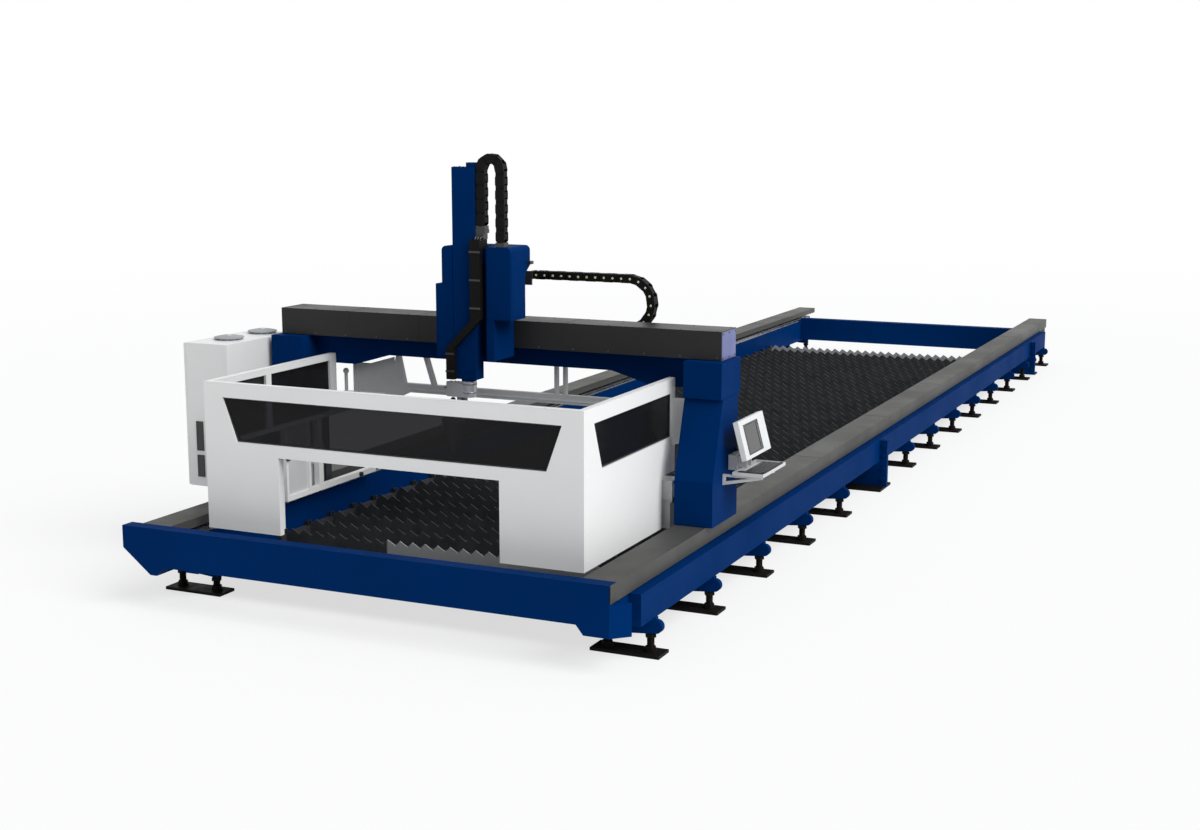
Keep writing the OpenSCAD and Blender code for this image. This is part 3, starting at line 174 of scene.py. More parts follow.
@dataclass(frozen=True)
class Finish:
    """One real finish: the base material, its process and what both give the eye.

    Attributes:
        name: Name of the material and process.
        colour: sRGB colour of a clean place.
        shade: sRGB colour of the darker or dustier patches.
        grain: Relief left by the process.
        grain_mm: Size of that relief.
        relief_mm: Depth of that relief.
        roughness: Roughness of a clean place.
        spread: How far patches change the roughness.
        metallic: 1 for bare metal.
        patch_mm: Size of the patches in colour.
        patch: How strongly the patches show, from 0 to 1.
        coat: Weight of a clear top layer.
        grime: Strength of the dust that gathers near the floor.
        ior: Index of refraction of the skin.
        mirror: Strength of the mirror reflection, 0.5 for the full one of the index.
        lay: Direction of the scratches for brushed metal.
    """

    name: str
    colour: str
    shade: str
    grain: Grain = Grain.ORANGE_PEEL
    grain_mm: float = 3.0
    relief_mm: float = 0.03
    roughness: float = 0.4
    spread: float = 0.08
    metallic: float = 0.0
    patch_mm: float = 400.0
    patch: float = 0.5
    coat: float = 0.0
    grime: float = 0.0
    ior: float = 1.5
    mirror: float = 0.5
    lay: Point = (1.0, 1.0, 1.0)

    def build(self) -> bpy.types.Material:
        """Build the material of this finish.

        Returns:
            The finished material.
        """
        material = new_material(self.name)
        tree = material.node_tree
        place = add_node(tree, "TexCoord").outputs["Object"]
        patches = add_node(tree, "TexNoise", {"Vector": place, "Scale": per_metre(self.patch_mm),
                                              "Detail": 5.0, "Roughness": 0.62}).outputs["Fac"]
        share = add_node(tree, "MapRange", {"Value": patches, "From Min": PATCH_EDGES[0],
                                            "From Max": PATCH_EDGES[1], "To Max": self.patch})
        mix = add_node(tree, "Mix", {"Factor": share.outputs["Result"], 6: linear(self.colour),
                                     7: linear(self.shade)}, data_type="RGBA")
        # Painted highlight, where the finish has one: the slat steel lightens its end rows.
        colour = self._painted_highlight(tree, place, mix.outputs[2])
        if self.grime:
            colour = self._dusty(tree, place, colour)
        rough = add_node(tree, "MapRange", {"Value": patches, "From Min": ROUGH_EDGES[0],
                                            "From Max": ROUGH_EDGES[1],
                                            "To Min": max(0.02, self.roughness - self.spread),
                                            "To Max": self.roughness + self.spread})
        shader = add_node(tree, "BsdfPrincipled",
                          {"Base Color": colour, "Roughness": rough.outputs["Result"],
                           "Normal": self._relief(tree, place), "Metallic": self.metallic, "IOR": self.ior,
                           "Specular IOR Level": self.mirror, "Coat Weight": self.coat,
                           "Coat Roughness": 0.12})
        add_node(tree, "OutputMaterial", {"Surface": shader.outputs["BSDF"]})
        return material

    def _painted_highlight(self, tree: Tree, place: Socket, colour: Socket) -> Socket:
        """Return the colour as it is: a plain finish has no painted highlight."""
        return colour

    def _relief(self, tree: Tree, place: Socket) -> Socket:
        """Return the normal that carries the relief of the process.

        Args:
            tree: Node tree to add to.
            place: Position on the object.

        Returns:
            The normal socket.
        """
        scale = per_metre(self.grain_mm)
        if self.grain is Grain.BRUSHED:
            place = add_node(tree, "Mapping", {"Vector": place, "Scale": self.lay}).outputs["Vector"]
        if self.grain is Grain.TEXTURED:
            source = add_node(tree, "TexVoronoi", {"Vector": place, "Scale": scale})
        else:
            detail = {Grain.BRUSHED: 3.0, Grain.MILL: 6.0}.get(self.grain, 2.0)
            source = add_node(tree, "TexNoise", {"Vector": place, "Scale": scale, "Detail": detail})
        height = source.outputs["Distance" if self.grain is Grain.TEXTURED else "Fac"]
        strength = 0.0 if self.grain is Grain.PLAIN else 0.8
        return add_node(tree, "Bump", {"Height": height, "Distance": self.relief_mm * MM,
                                       "Strength": strength}).outputs["Normal"]

    def _dusty(self, tree: Tree, place: Socket, colour: Socket) -> Socket:
        """Return the colour with the dust that gathers on low places.

        Args:
            tree: Node tree to add to.
            place: Position on the object.
            colour: Clean colour.

        Returns:
            The dusty colour.
        """
        height = add_node(tree, "SeparateXYZ", {"Vector": place}).outputs["Z"]
        low = add_node(tree, "MapRange", {"Value": height, "From Min": 0.0, "From Max": DUST_TOP,
                                          "To Min": 1.0, "To Max": 0.0})
        spots = add_node(tree, "TexNoise", {"Vector": place, "Scale": per_metre(DUST_MM), "Detail": 6.0})
        amount = add_node(tree, "Math", {0: low.outputs["Result"], 1: spots.outputs["Fac"]},
                          operation="MULTIPLY")
        amount = add_node(tree, "Math", {0: amount.outputs[0], 1: self.grime}, operation="MULTIPLY")
        mix = add_node(tree, "Mix", {"Factor": amount.outputs[0], 6: colour, 7: linear(DUST)},
                       data_type="RGBA")
        return mix.outputs[2]


@dataclass(frozen=True)
class SlatSteel(Finish):
    """Plate of the slats: scorched in the field, with a painted highlight on the end rows for the light that
    falls on them.

    Attributes:
        painted_highlight_colour: sRGB colour painted on the end rows to stand for the light on them.
        ends: Depth of the first row's back and of the last row's front.
        left: Distance from the centreline where the first row's painted highlight begins.
    """

    # Painted highlight: a pale steel colour that stands for the light falling on the end rows.
    painted_highlight_colour: str = "#A3A5A6"
    ends: Pair = (1290.0, 12030.0)
    left: float = -560.0

    def _painted_highlight(self, tree: Tree, place: Socket, colour: Socket) -> Socket:
        """Return the colour with the painted highlight of the end rows.

        Args:
            tree: Node tree to add to.
            place: Position on the object.
            colour: Colour of the scorched field.

        Returns:
            The colour of the whole bed.
        """
        near, far = at(self.left, self.ends[0], 0), at(0, self.ends[1], 0)
        axes = add_node(tree, "SeparateXYZ", {"Vector": place}).outputs
        first, side, last = (
            add_node(tree, "MapRange", {"Value": axes[axis], "From Min": start,
                                        "From Max": start + HIGHLIGHT_EDGE, "To Min": before,
                                        "To Max": 1.0 - before}).outputs["Result"]
            for axis, start, before in (("Y", near.y, 1.0), ("X", near.x, 0.0), ("Y", far.y, 0.0)))
        front = add_node(tree, "Math", {0: first, 1: side}, operation="MULTIPLY")
        both = add_node(tree, "Math", {0: front.outputs[0], 1: last}, operation="MAXIMUM")
        # Painted highlight: the end rows take the pale colour, and the field keeps the scorched one.
        mix = add_node(tree, "Mix", {"Factor": both.outputs[0], 6: colour, 7: linear(self.painted_highlight_colour)},
                       data_type="RGBA")
        return mix.outputs[2]


@dataclass(frozen=True)
class SmokedPane:
    """Laser-safe acrylic sheet, cast and dyed smoke grey: dark, glossy and slightly see-through.

    Attributes:
        name: Name of the material and process.
        colour: sRGB colour of the glossy skin.
        dye: sRGB colour that light takes on its way through.
        clear: Share of the view that goes through.
    """

    name: str = "smoked_cast_acrylic"
    colour: str = "#2E2E30"
    dye: str = "#7E7E81"
    clear: float = 0.68

    def build(self) -> bpy.types.Material:
        """Build the pane: a dark glossy skin mixed with a clear view.

        Returns:
            The finished material.
        """
        material = new_material(self.name)
        tree = material.node_tree
        place = add_node(tree, "TexCoord").outputs["Object"]
        haze = add_node(tree, "TexNoise", {"Vector": place, "Scale": per_metre(260.0), "Detail": 4.0})
        rough = add_node(tree, "MapRange", {"Value": haze.outputs["Fac"], "To Min": 0.05, "To Max": 0.2})
        skin = add_node(tree, "BsdfPrincipled", {"Base Color": linear(self.colour), "IOR": 1.49,
                                                 "Roughness": rough.outputs["Result"],
                                                 "Specular IOR Level": 0.25})
        view = add_node(tree, "BsdfTransparent", {"Color": linear(self.dye)})
        mix = add_node(tree, "MixShader", {0: self.clear, 1: skin.outputs["BSDF"], 2: view.outputs["BSDF"]})
        add_node(tree, "OutputMaterial", {"Surface": mix.outputs[0]})
        return material


AnyFinish = Finish | SmokedPane

# Mould textures, scratches and powder grains are finer in life. They are drawn 0.8 to 2.5 mm wide, so that
# they show from as far as the camera stands. Peel, mill scale and patches have their real size.

# Blue polyester powder coat, oven cured: satin, with a faint orange peel of about 3 mm.
BLUE_COAT = Finish("blue_powder_coat_cured", "#00295E", "#002453", grain_mm=3.0, relief_mm=0.02,
                   roughness=0.5, patch_mm=900.0, patch=0.6, mirror=0.006)
# Folded steel covers in textured dark grey powder: matte, with grains drawn at 2.5 mm so that they show.
COVER_COAT = Finish("charcoal_textured_powder", "#40403E", "#383735", grain=Grain.TEXTURED, grain_mm=2.5,
                    relief_mm=0.05, roughness=0.55, spread=0.1, patch_mm=700.0, patch=0.7, mirror=0.3)
# The same powder on the crossbeam cover and the trough, darker and a little glossier.
BEAM_COAT = Finish("charcoal_satin_powder", "#232324", "#1D1D1E", grain=Grain.TEXTURED, grain_mm=2.5,
                   relief_mm=0.03, roughness=0.45, patch_mm=600.0, patch=0.6, mirror=0.25)
# End plates in a pale blue-grey wet paint: low sheen.
CAP_PAINT = Finish("slate_blue_wet_paint", "#5C6494", "#515986", roughness=0.45, patch_mm=120.0)
# Traffic white powder coat on 2 mm sheet: smooth and bright with hardly any peel.
WHITE_COAT = Finish("white_powder_coat_smooth", "#E3E3E3", "#DBDBDA", grain_mm=4.0, relief_mm=0.012,
                    roughness=0.38, patch_mm=800.0, patch=0.5)
# Light grey powder coat on brackets and small sheet parts: satin, a fine peel.
GREY_COAT = Finish("light_grey_powder_coat", "#C4C5C6", "#B6B7B9", grain_mm=3.0, relief_mm=0.015,
                   roughness=0.42, patch_mm=300.0)
# Hot rolled plate of the slats: scale, scorched by the beam, with a painted highlight on the end rows.
SCORCHED_STEEL = SlatSteel("hot_rolled_steel_scorched", "#414346", "#2E2F31", grain=Grain.MILL, grain_mm=14.0,
                           relief_mm=0.2, roughness=0.65, spread=0.12, metallic=0.15, patch_mm=140.0,
                           patch=0.8, mirror=0.2)
# Hot rolled plate of the tray: scale under dust, so hardly a metal to the eye.
TRAY_STEEL = Finish("hot_rolled_steel_dusty", "#393B3E", "#2C2D2F", grain=Grain.MILL, grain_mm=20.0,
                    relief_mm=0.2, roughness=0.7, spread=0.12, metallic=0.1, patch_mm=220.0, patch=0.8,
                    mirror=0.2)
# Ground and oiled guide steel: long fine lay along the guide.
GROUND_STEEL = Finish("guide_steel_ground", "#A9ACB0", "#94979C", grain=Grain.BRUSHED, grain_mm=1.5,
                      relief_mm=0.02, roughness=0.28, metallic=1.0, patch_mm=90.0, lay=(1.0, 0.02, 1.0))
# Blackened steel of guide blocks, screws and clips: dark metal with a dull skin.
DARK_STEEL = Finish("block_steel_blackened", "#4B4D50", "#3C3E41", grain=Grain.MILL, grain_mm=4.0,
                    relief_mm=0.04, roughness=0.45, metallic=0.8, patch_mm=40.0)
# Cast and oxide-coated feet: rough sand-cast skin.
FOOT_IRON = Finish("foot_iron_black_oxide", "#0A0908", "#12100E", grain=Grain.MILL, grain_mm=6.0,
                   relief_mm=0.3, roughness=0.62, spread=0.12, metallic=0.2, patch_mm=60.0, grime=0.06,
                   mirror=0.06)
# Glass-filled nylon of the energy chains: moulded, dark, slightly brown.
CHAIN_NYLON = Finish("chain_nylon_moulded", "#100F0F", "#161413", grain=Grain.MOULDED, grain_mm=1.6,
                     relief_mm=0.05, roughness=0.5, patch_mm=50.0, ior=1.53, mirror=0.08)
# Natural nylon of the cross chain's pins: moulded, cream, waxy.
PIN_NYLON = Finish("chain_pin_natural_nylon", "#DDD4AE", "#CFC69E", grain=Grain.MOULDED, grain_mm=2.0,
                   relief_mm=0.02, roughness=0.4, patch_mm=20.0, ior=1.53)
# Nitrile rubber of seals, wipers and stops: moulded, matte black.
RUBBER = Finish("nitrile_rubber_moulded", "#171717", "#202020", grain=Grain.MOULDED, grain_mm=2.0,
                relief_mm=0.05, roughness=0.75, patch_mm=60.0, ior=1.52)
# Black ABS of knobs, glands and louvres: moulded with a fine spark texture, half gloss.
BLACK_ABS = Finish("black_abs_moulded", "#191A1B", "#222324", grain=Grain.MOULDED, grain_mm=1.5,
                   relief_mm=0.03, roughness=0.38, patch_mm=60.0, ior=1.54)
# ABS of the keyboard: moulded, dark grey, dull.
KEY_ABS = Finish("key_abs_matte", "#2A2B2D", "#35363A", grain=Grain.MOULDED, grain_mm=1.0, relief_mm=0.02,
                 roughness=0.6, patch_mm=30.0, ior=1.54)
# ABS of the screen housing: moulded, pale grey, satin.
PALE_ABS = Finish("pale_grey_abs_moulded", "#D3D5D6", "#C6C8CA", grain=Grain.MOULDED, grain_mm=1.5,
                  relief_mm=0.03, roughness=0.5, patch_mm=120.0, ior=1.54)
# Display behind an anti-glare sheet, switched off: nearly black with a soft sheen.
SCREEN_GLASS = Finish("display_anti_glare_sheet", "#14171B", "#0F1215", grain=Grain.PLAIN, roughness=0.22,
                      spread=0.03, patch_mm=200.0, coat=0.3)
# Milled and clear anodised aluminium of the cutting head: silky, pale.
ANODISED = Finish("aluminium_clear_anodised", "#C3C6CB", "#ADB1B7", grain=Grain.BRUSHED, grain_mm=1.2,
                  relief_mm=0.015, roughness=0.33, metallic=0.85, patch_mm=60.0, lay=(1.0, 1.0, 0.05))
# The same with a grey dye, on motors and rings.
ANODISED_DARK = Finish("aluminium_grey_anodised", "#83878D", "#6F7379", grain=Grain.BRUSHED, grain_mm=1.2,
                       relief_mm=0.015, roughness=0.36, metallic=0.8, patch_mm=50.0)
# Turned copper of the nozzle: warm, glossy, with fine rings.
COPPER = Finish("nozzle_copper_turned", "#C27B4C", "#A9653A", grain=Grain.BRUSHED, grain_mm=0.8,
                relief_mm=0.02, roughness=0.25, metallic=1.0, patch_mm=10.0, lay=(1.0, 1.0, 8.0))
# Mid grey coat of the drive units and the roof hoods: satin.
UNIT_COAT = Finish("drive_unit_grey_coat", "#989C9F", "#888C90", relief_mm=0.02, roughness=0.5, patch_mm=80.0)
# Dyed acrylic of the windows: dark and glossy, with the inside showing faintly.
PANE = SmokedPane()


@cache
def material_of(finish: AnyFinish) -> bpy.types.Material:
    """Return the material of a finish, built once and shared by every piece."""
    return finish.build()


def dress(finishes: dict[AnyFinish, Sequence[str]]) -> None:
    """Give CAD nodes their finishes.

    Args:
        finishes: Names of the nodes that have each finish.
    """
    for finish, names in finishes.items():
        for name in names:
            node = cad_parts[name]
            if not node.data.materials:
                node.data.materials.append(None)
            for slot in node.material_slots:
                slot.material = material_of(finish)


# Mesh making

# Number of sides of a weld bead.
BEAD_SIDES = 6


class Head(Enum):
    """Button heads of screws: the number of sides, then radius and height of each ring."""

    RAIL = (12, ((8.0, 0.0), (7.5, 1.2), (5.0, 2.0)))
    BEAM = (12, ((7.0, 0.0), (6.5, 2.0), (4.5, 3.0)))
    PANEL = (12, ((6.0, 0.0), (5.5, 1.8), (4.0, 2.6)))
    HOUSING = (10, ((5.0, 0.0), (4.6, 1.6), (3.0, 2.4)))
    LOUVRE = (10, ((4.0, 0.0), (3.6, 1.4), (2.4, 2.0)))


def add_object(name: str, data: bpy.types.ID) -> bpy.types.Object:
    """Add an object to the scene.

    Args:
        name: Name of the object.
        data: Its mesh, camera or lamp.

    Returns:
        The object.
    """
    thing = bpy.data.objects.new(name, data)
    bpy.context.scene.collection.objects.link(thing)
    return thing


class Form:
    """One mesh under construction, made of swept, turned and bevelled forms."""

    def __init__(self) -> None:
        """Start with an empty mesh."""
        self.bm = bmesh.new()

    def block(self, x: Pair, y: Pair, z: Pair, soft: float) -> None:
        """Add a bevelled block.

        Args:
            x: Its two sides, in either order.
            y: Its front and back.
            z: Its underside and top.
            soft: Radius of its edges.
        """
        lo, hi = at(min(x), y[0], z[0]), at(max(x), y[1], z[1])
        size = hi - lo
        matrix = Matrix.Translation((lo + hi) / 2) @ Matrix.Diagonal((*size, 1.0))
        made = bmesh.ops.create_cube(self.bm, size=1.0, matrix=matrix)["verts"]
        edges = list({e for v in made for e in v.link_edges})
        bmesh.ops.bevel(self.bm, geom=edges, offset=min(soft * MM, min(size) * 0.45), segments=2, profile=0.5,
                        affect="EDGES", clamp_overlap=True)

    def circle(self, base: Vector, turn: Matrix, radius: float, height: float,
               sides: int) -> list[bmesh.types.BMVert]:
        """Add the corners of one ring.

        Args:
            base: Point of the ring's axis at height 0.
            turn: Rotation from straight up to the axis.
            radius: Radius of the ring.
            height: Height of the ring along its axis.
            sides: Number of corners.

        Returns:
            The corners in order.
        """
        angles = [2 * math.pi * k / sides for k in range(sides)]
        corners = [Vector((radius * math.cos(a), radius * math.sin(a), height)) for a in angles]
        return [self.bm.verts.new(base + turn @ corner * MM) for corner in corners]

    def skin(self, rings: Sequence[Sequence[bmesh.types.BMVert]]) -> None:
        """Join rings of corners into a closed skin with flat ends.

        Args:
            rings: Rings in order, each with as many corners.
        """
        steps = len(rings[0])
        for low, high in zip(rings, rings[1:]):
            for k in range(steps):
                n = (k + 1) % steps
                self.bm.faces.new((low[k], low[n], high[n], high[k]))
        self.bm.faces.new(list(reversed(rings[0])))
        self.bm.faces.new(rings[-1])

    def turned(self, outline: Sequence[Pair], base: Vector, axis: Vector, steps: int = 24) -> None:
        """Add a form turned about an axis.

        Args:
            outline: Radius and height along the axis for each ring.
            base: Point of the axis at height 0.
            axis: Direction of the axis.
            steps: Number of sides.
        """
        turn = UP.rotation_difference(axis.normalized()).to_matrix()
        self.skin([self.circle(base, turn, radius, height, steps) for radius, height in outline])

    def screw(self, head: Head, base: Vector, axis: Vector) -> None:
        """Add a button head on a surface, facing along an axis."""
        steps, outline = head.value
        self.turned(outline, base, axis, steps)

    def bolt(self, base: Vector, axis: Vector, across: float, height: float) -> None:
        """Add a hexagon head or nut with a chamfered crown.

        Args:
            base: Point on the surface below the head.
            axis: Direction out of the surface.
            across: Width across the flats.
            height: Height of the head.
        """
        radius = across / math.sqrt(3)
        self.turned([(radius * 0.94, 0.0), (radius, height * 0.08), (radius, height * 0.86),
                     (radius * 0.86, height)], base, axis, 6)

    def weld(self, path: Sequence[Vector], radius: float) -> None:
        """Add a weld bead along a path."""
        self.tube(path, radius, BEAD_SIDES)

    def strip(self, outline: Sequence[Vector], push: Vector) -> None:
        """Add a prism of an outline pushed along a vector.

        Args:
            outline: Corners of the flat outline in order.
            push: Vector to the far outline.
        """
        near = [self.bm.verts.new(p) for p in outline]
        far = [self.bm.verts.new(p + push) for p in outline]
        self.bm.faces.new(near)
        self.bm.faces.new(list(reversed(far)))
        for k in range(len(near)):
            n = (k + 1) % len(near)
            self.bm.faces.new((near[n], near[k], far[k], far[n]))

    def tube(self, path: Sequence[Vector], radius: float, sides: int) -> None:
        """Add a round bar, bead or hose along a path.

        Args:
            path: Points of the centre line.
            radius: Radius of the bar.
            sides: Number of sides.
        """
        rings = []
        for i, point in enumerate(path):
            ahead = (path[min(i + 1, len(path) - 1)] - path[max(i - 1, 0)]).normalized()
            rings.append(self.circle(point, UP.rotation_difference(ahead).to_matrix(), radius, 0.0, sides))
        self.skin(rings)

    def ring(self, outer: Sequence[Vector], inner: Sequence[Vector], push: Vector) -> None:
        """Add a flat frame between two outlines with as many corners, pushed along a vector.

        Args:
            outer: Outer corners in order.
            inner: Inner corners in the same order.
            push: Vector to the far side.
        """
        new = self.bm.faces.new
        a, b, c, d = ([self.bm.verts.new(p + shift) for p in line] for shift in (Vector(), push)
                      for line in (outer, inner))
        for k in range(len(outer)):
            n = (k + 1) % len(outer)
            new((a[k], a[n], b[n], b[k]))
            new((c[n], c[k], d[k], d[n]))
            new((a[n], a[k], c[k], c[n]))
            new((b[k], b[n], d[n], d[k]))

    def rim(self, place: Callable[[float, float], Vector], low: Pair, high: Pair, wide: float,
            push: Vector) -> None:
        """Add a rectangular frame.

        Args:
            place: Gives the point of the frame for a pair of the rectangle's own measures.
            low: Outer corner with the lowest measures.
            high: Outer corner with the highest ones.
            wide: Width of the frame's legs.
            push: Vector to the far side.
        """
        lines = []
        for inset in (0.0, wide):
            u0, v0, u1, v1 = low[0] + inset, low[1] + inset, high[0] - inset, high[1] - inset
            lines.append([place(u0, v0), place(u1, v0), place(u1, v1), place(u0, v1)])
        self.ring(*lines, push)

    def thing(self, name: str, material: bpy.types.Material) -> bpy.types.Object:
        """Turn the form into an object of the scene.

        Args:
            name: Name of the object.
            material: Its material.

        Returns:
            The object.
        """
        bmesh.ops.recalc_face_normals(self.bm, faces=self.bm.faces)
        mesh = bpy.data.meshes.new(name)
        self.bm.to_mesh(mesh)
        self.bm.free()
        mesh.materials.append(material)
        LOG.info("%s: %d faces", name, len(mesh.polygons))
        return add_object(name, mesh)

    def made(self, name: str, finish: AnyFinish, slot: str) -> bpy.types.Object:
        """Turn the form into a piece that nothing carries yet.

        Args:
            name: Name of the piece.
            finish: Its finish.
            slot: Not used.

        Returns:
            The piece.
        """
        piece = self.thing(name, material_of(finish))
        return piece

    def done(self, name: str, finish: AnyFinish, body: str, slot: str) -> bpy.types.Object:
        """Turn the form into a piece that rides on a body.

        Args:
            name: Name of the piece.
            finish: Its finish.
            body: Body that carries it.
            slot: Passed on to made, which does not use it.

        Returns:
            The piece.
        """
        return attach(self.made(name, finish, slot), body)


def steps_along(start: float, stop: float, pitch: float) -> list[float]:
    """Return evenly spaced stations from start to stop, no further apart than pitch."""
    count = max(1, math.ceil((stop - start) / pitch))
    return [start + (stop - start) * i / count for i in range(count + 1)]


# Sub-assemblies


class Assembly:
    """Sub-assembly of the machine: its own nodes' finishes, and the methods that build its pieces.

    Attributes:
        nodes: Names of the CAD nodes that have each finish.
    """

    nodes: dict[AnyFinish, Sequence[str]] = {}

    def parts(self) -> Sequence[Callable[[], None]]:
        """Return the methods that build the pieces, in order."""
        return ()

    def build(self) -> None:
        """Dress the nodes and build the pieces."""
        dress(self.nodes)
        for make in self.parts():
            make()


@dataclass
class RailBase(Assembly):
    """Rails, covers, cross beams and feet.

    Attributes:
        length: Length of the base.
        cover: Inner and outer edge of a rail cover.
        deck: Height of the rail covers.
        flanges: Places of the rails' flanged joints.
        studs: Distances of the inner and the outer studs from the centreline.
        stud_lead: How far the studs stand behind the flange at the first joint.
        under_flange: Heights of the faces above the inner and the outer studs there.
        thread: Radius over the studs' thread, radius at its root, and its pitch.
        nut: Width across the flats of the studs' nuts.
        pad: Height of the foot plates.
    """

    length: float = 14220.0
    cover: Pair = (1498.0, 1723.0)
    deck: float = 557.0
    flanges: Pair = (5625.0, 12750.0)
    studs: Pair = (1468.0, 1755.0)
    stud_lead: float = 100.0
    under_flange: Pair = (190.0, 240.0)
    thread: Point = (24.0, 21.5, 6.0)
    nut: float = 62.0
    pad: float = 20.0

    nodes = {
        BLUE_COAT: ("front_beam", "rear_beam", "left_rail", "right_rail", "foot_lugs", "bed_bearers",
                    "joint_bolts"),
        COVER_COAT: ("left_rail_cover", "right_rail_cover"),
        RUBBER: ("end_stops",),
        GROUND_STEEL: ("y_guides",),
        FOOT_IRON: ("foot_plates", "foot_studs"),
    }

    def parts(self) -> Sequence[Callable[[], None]]:
        """Return the methods that build the pieces, in order."""
        return self.cover_screws, self.cover_laps, self.levelling_studs, self.rail_welds

    def stations(self) -> list[float]:
        """Return the places of the feet along a rail, one of them at the first joint.

        Returns:
            The places in order.
        """
        joint = self.flanges[0]
        front, rear = [520 + 995 * i for i in range(5)], [joint + 1035 + 962 * i for i in range(7)]
        return [*front, joint, *rear, 12925, 13745]

    def cover_screws(self) -> None:
        """Build the button screws that hold the covers down."""
        form = Form()
        for side in SIDES:
            for y in steps_along(300, self.length - 120, 600):
                for x in (self.cover[0] + 16, self.cover[1] - 16):
                    form.screw(Head.RAIL, at(side * x, y, self.deck), UP)
        form.done("cover_screws", DARK_STEEL, "base", "ground_steel")

    def cover_laps(self) -> None:
        """Build the lap straps where two lengths of cover meet."""
        form = Form()
        for side in SIDES:
            for y in steps_along(2040, self.length - 2040, 2030):
                form.block((side * (self.cover[0] + 1), side * (self.cover[1] - 1)), (y - 25, y + 25),
                           (self.deck - 0.5, self.deck + 1.5), 0.6)
        form.done("cover_laps", COVER_COAT, "base", "cover_paint")

    def stud(self, form: Form, x: float, y: float, top: float) -> None:
        """Add one threaded stud with its collar, its foot nut and its lock nut.

        Args:
            form: Form to add to.
            x: Place of the stud across the machine.
            y: Place of the stud along it.
            top: Height of the face above the stud.
        """
        crest, root, pitch = self.thread
        outline = [(crest, 0.0), (crest, 22.0)]
        for k in range(math.ceil((top - 70) / pitch)):
            outline += [(root, 24.0 + pitch * k), (crest, 27.0 + pitch * k)]
        outline += [(crest, top - 40), (crest, top - 20.5)]
        form.turned(outline, at(x, y, self.pad), UP, 16)
        form.turned([(36.0, 0.0), (37.0, 4.0), (37.0, 10.0), (30.0, 14.0)], at(x, y, self.pad), UP)
        form.bolt(at(x, y, self.pad + 13), UP, self.nut, 22.0)
        form.bolt(at(x, y, top - 24), UP, self.nut, 23.2)

    def under_lug(self, x: float) -> float:
        """Return the height of a lug's sloping underside at the inner edge of a stud."""
        return 110 + (x - self.thread[0] - 1440) * 30 / 355

    def levelling_studs(self) -> None:
        """Build the studs of all feet, which stand for the plain ones."""
        form = Form()
        for side in SIDES:
            for y in self.stations():
                for x, flange in zip(self.studs, self.under_flange):
                    if y == self.flanges[0]:
                        self.stud(form, side * x, y + self.stud_lead, flange)
                    else:
                        self.stud(form, side * x, y, self.under_lug(x))
        piece = form.done("levelling_studs", FOOT_IRON, "base", "foot_metal")
        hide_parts("foot_studs")

    def rail_welds(self) -> None:
        """Build the weld beads of the lugs and of the joint flanges on the rails."""
        form = Form()
        for side in SIDES:
            for y in self.stations():
                if y != self.flanges[0]:
                    for edge in (-22, 22):
                        form.weld([at(side * x, y + edge, 239) for x in (1552, 1640, 1720, 1780)], 5.0)
            for y in self.flanges:
                for edge in (-25.5, 25.5):
                    form.weld([at(side * x, y + edge, 240) for x in (1560, 1700, 1786)], 6.0)
                    form.weld([at(side * 1789, y + edge, z) for z in (244, 330, 428)], 6.0)
        form.done("rail_welds", BLUE_COAT, "base", "blue_paint")


@dataclass
class SlatBed(Assembly):
    """Tray and support slats, with the clips that hold the slats and the hems of the tray.

    Attributes:
        first: Place of the first slat.
        pitch: Distance from slat to slat.
        count: Number of slats.
        bar: Half the width between the side bars.
        floor: Height of the tray.
    """

    first: float = 1250.0
    pitch: float = 300.0
    count: int = 37
    bar: float = 1400.0
    floor: float = 190.0

    nodes = {TRAY_STEEL: ("chip_tray",), SCORCHED_STEEL: ("bed_slats",)}

    def parts(self) -> Sequence[Callable[[], None]]:
        """Return the methods that build the pieces, in order."""
        return self.clips, self.tray_hems

    def clips(self) -> None:
        """Build the pairs of folded clips at both ends of each slat."""
        form = Form()
        for i in range(self.count):
            y = self.first + i * self.pitch
            for side in SIDES:
                for near, far in ((-16, -4), (12, 24)):
                    form.block((side * (self.bar + 2), side * (self.bar + 34)), (y + near, y + far),
                               (self.floor + 60, self.floor + 96), 2.0)
        form.done("slat_clips", DARK_STEEL, "base", "bed_steel")

    def tray_hems(self) -> None:
        """Build the raised hems where the tray plates meet."""
        form = Form()
        half = self.bar - 4
        for y in steps_along(1100, 11900, 1200):
            form.block((-half, half), (y - 14, y + 14), (self.floor - 0.5, self.floor + 3), 1.0)
        form.done("tray_hems", TRAY_STEEL, "base", "bed_steel")


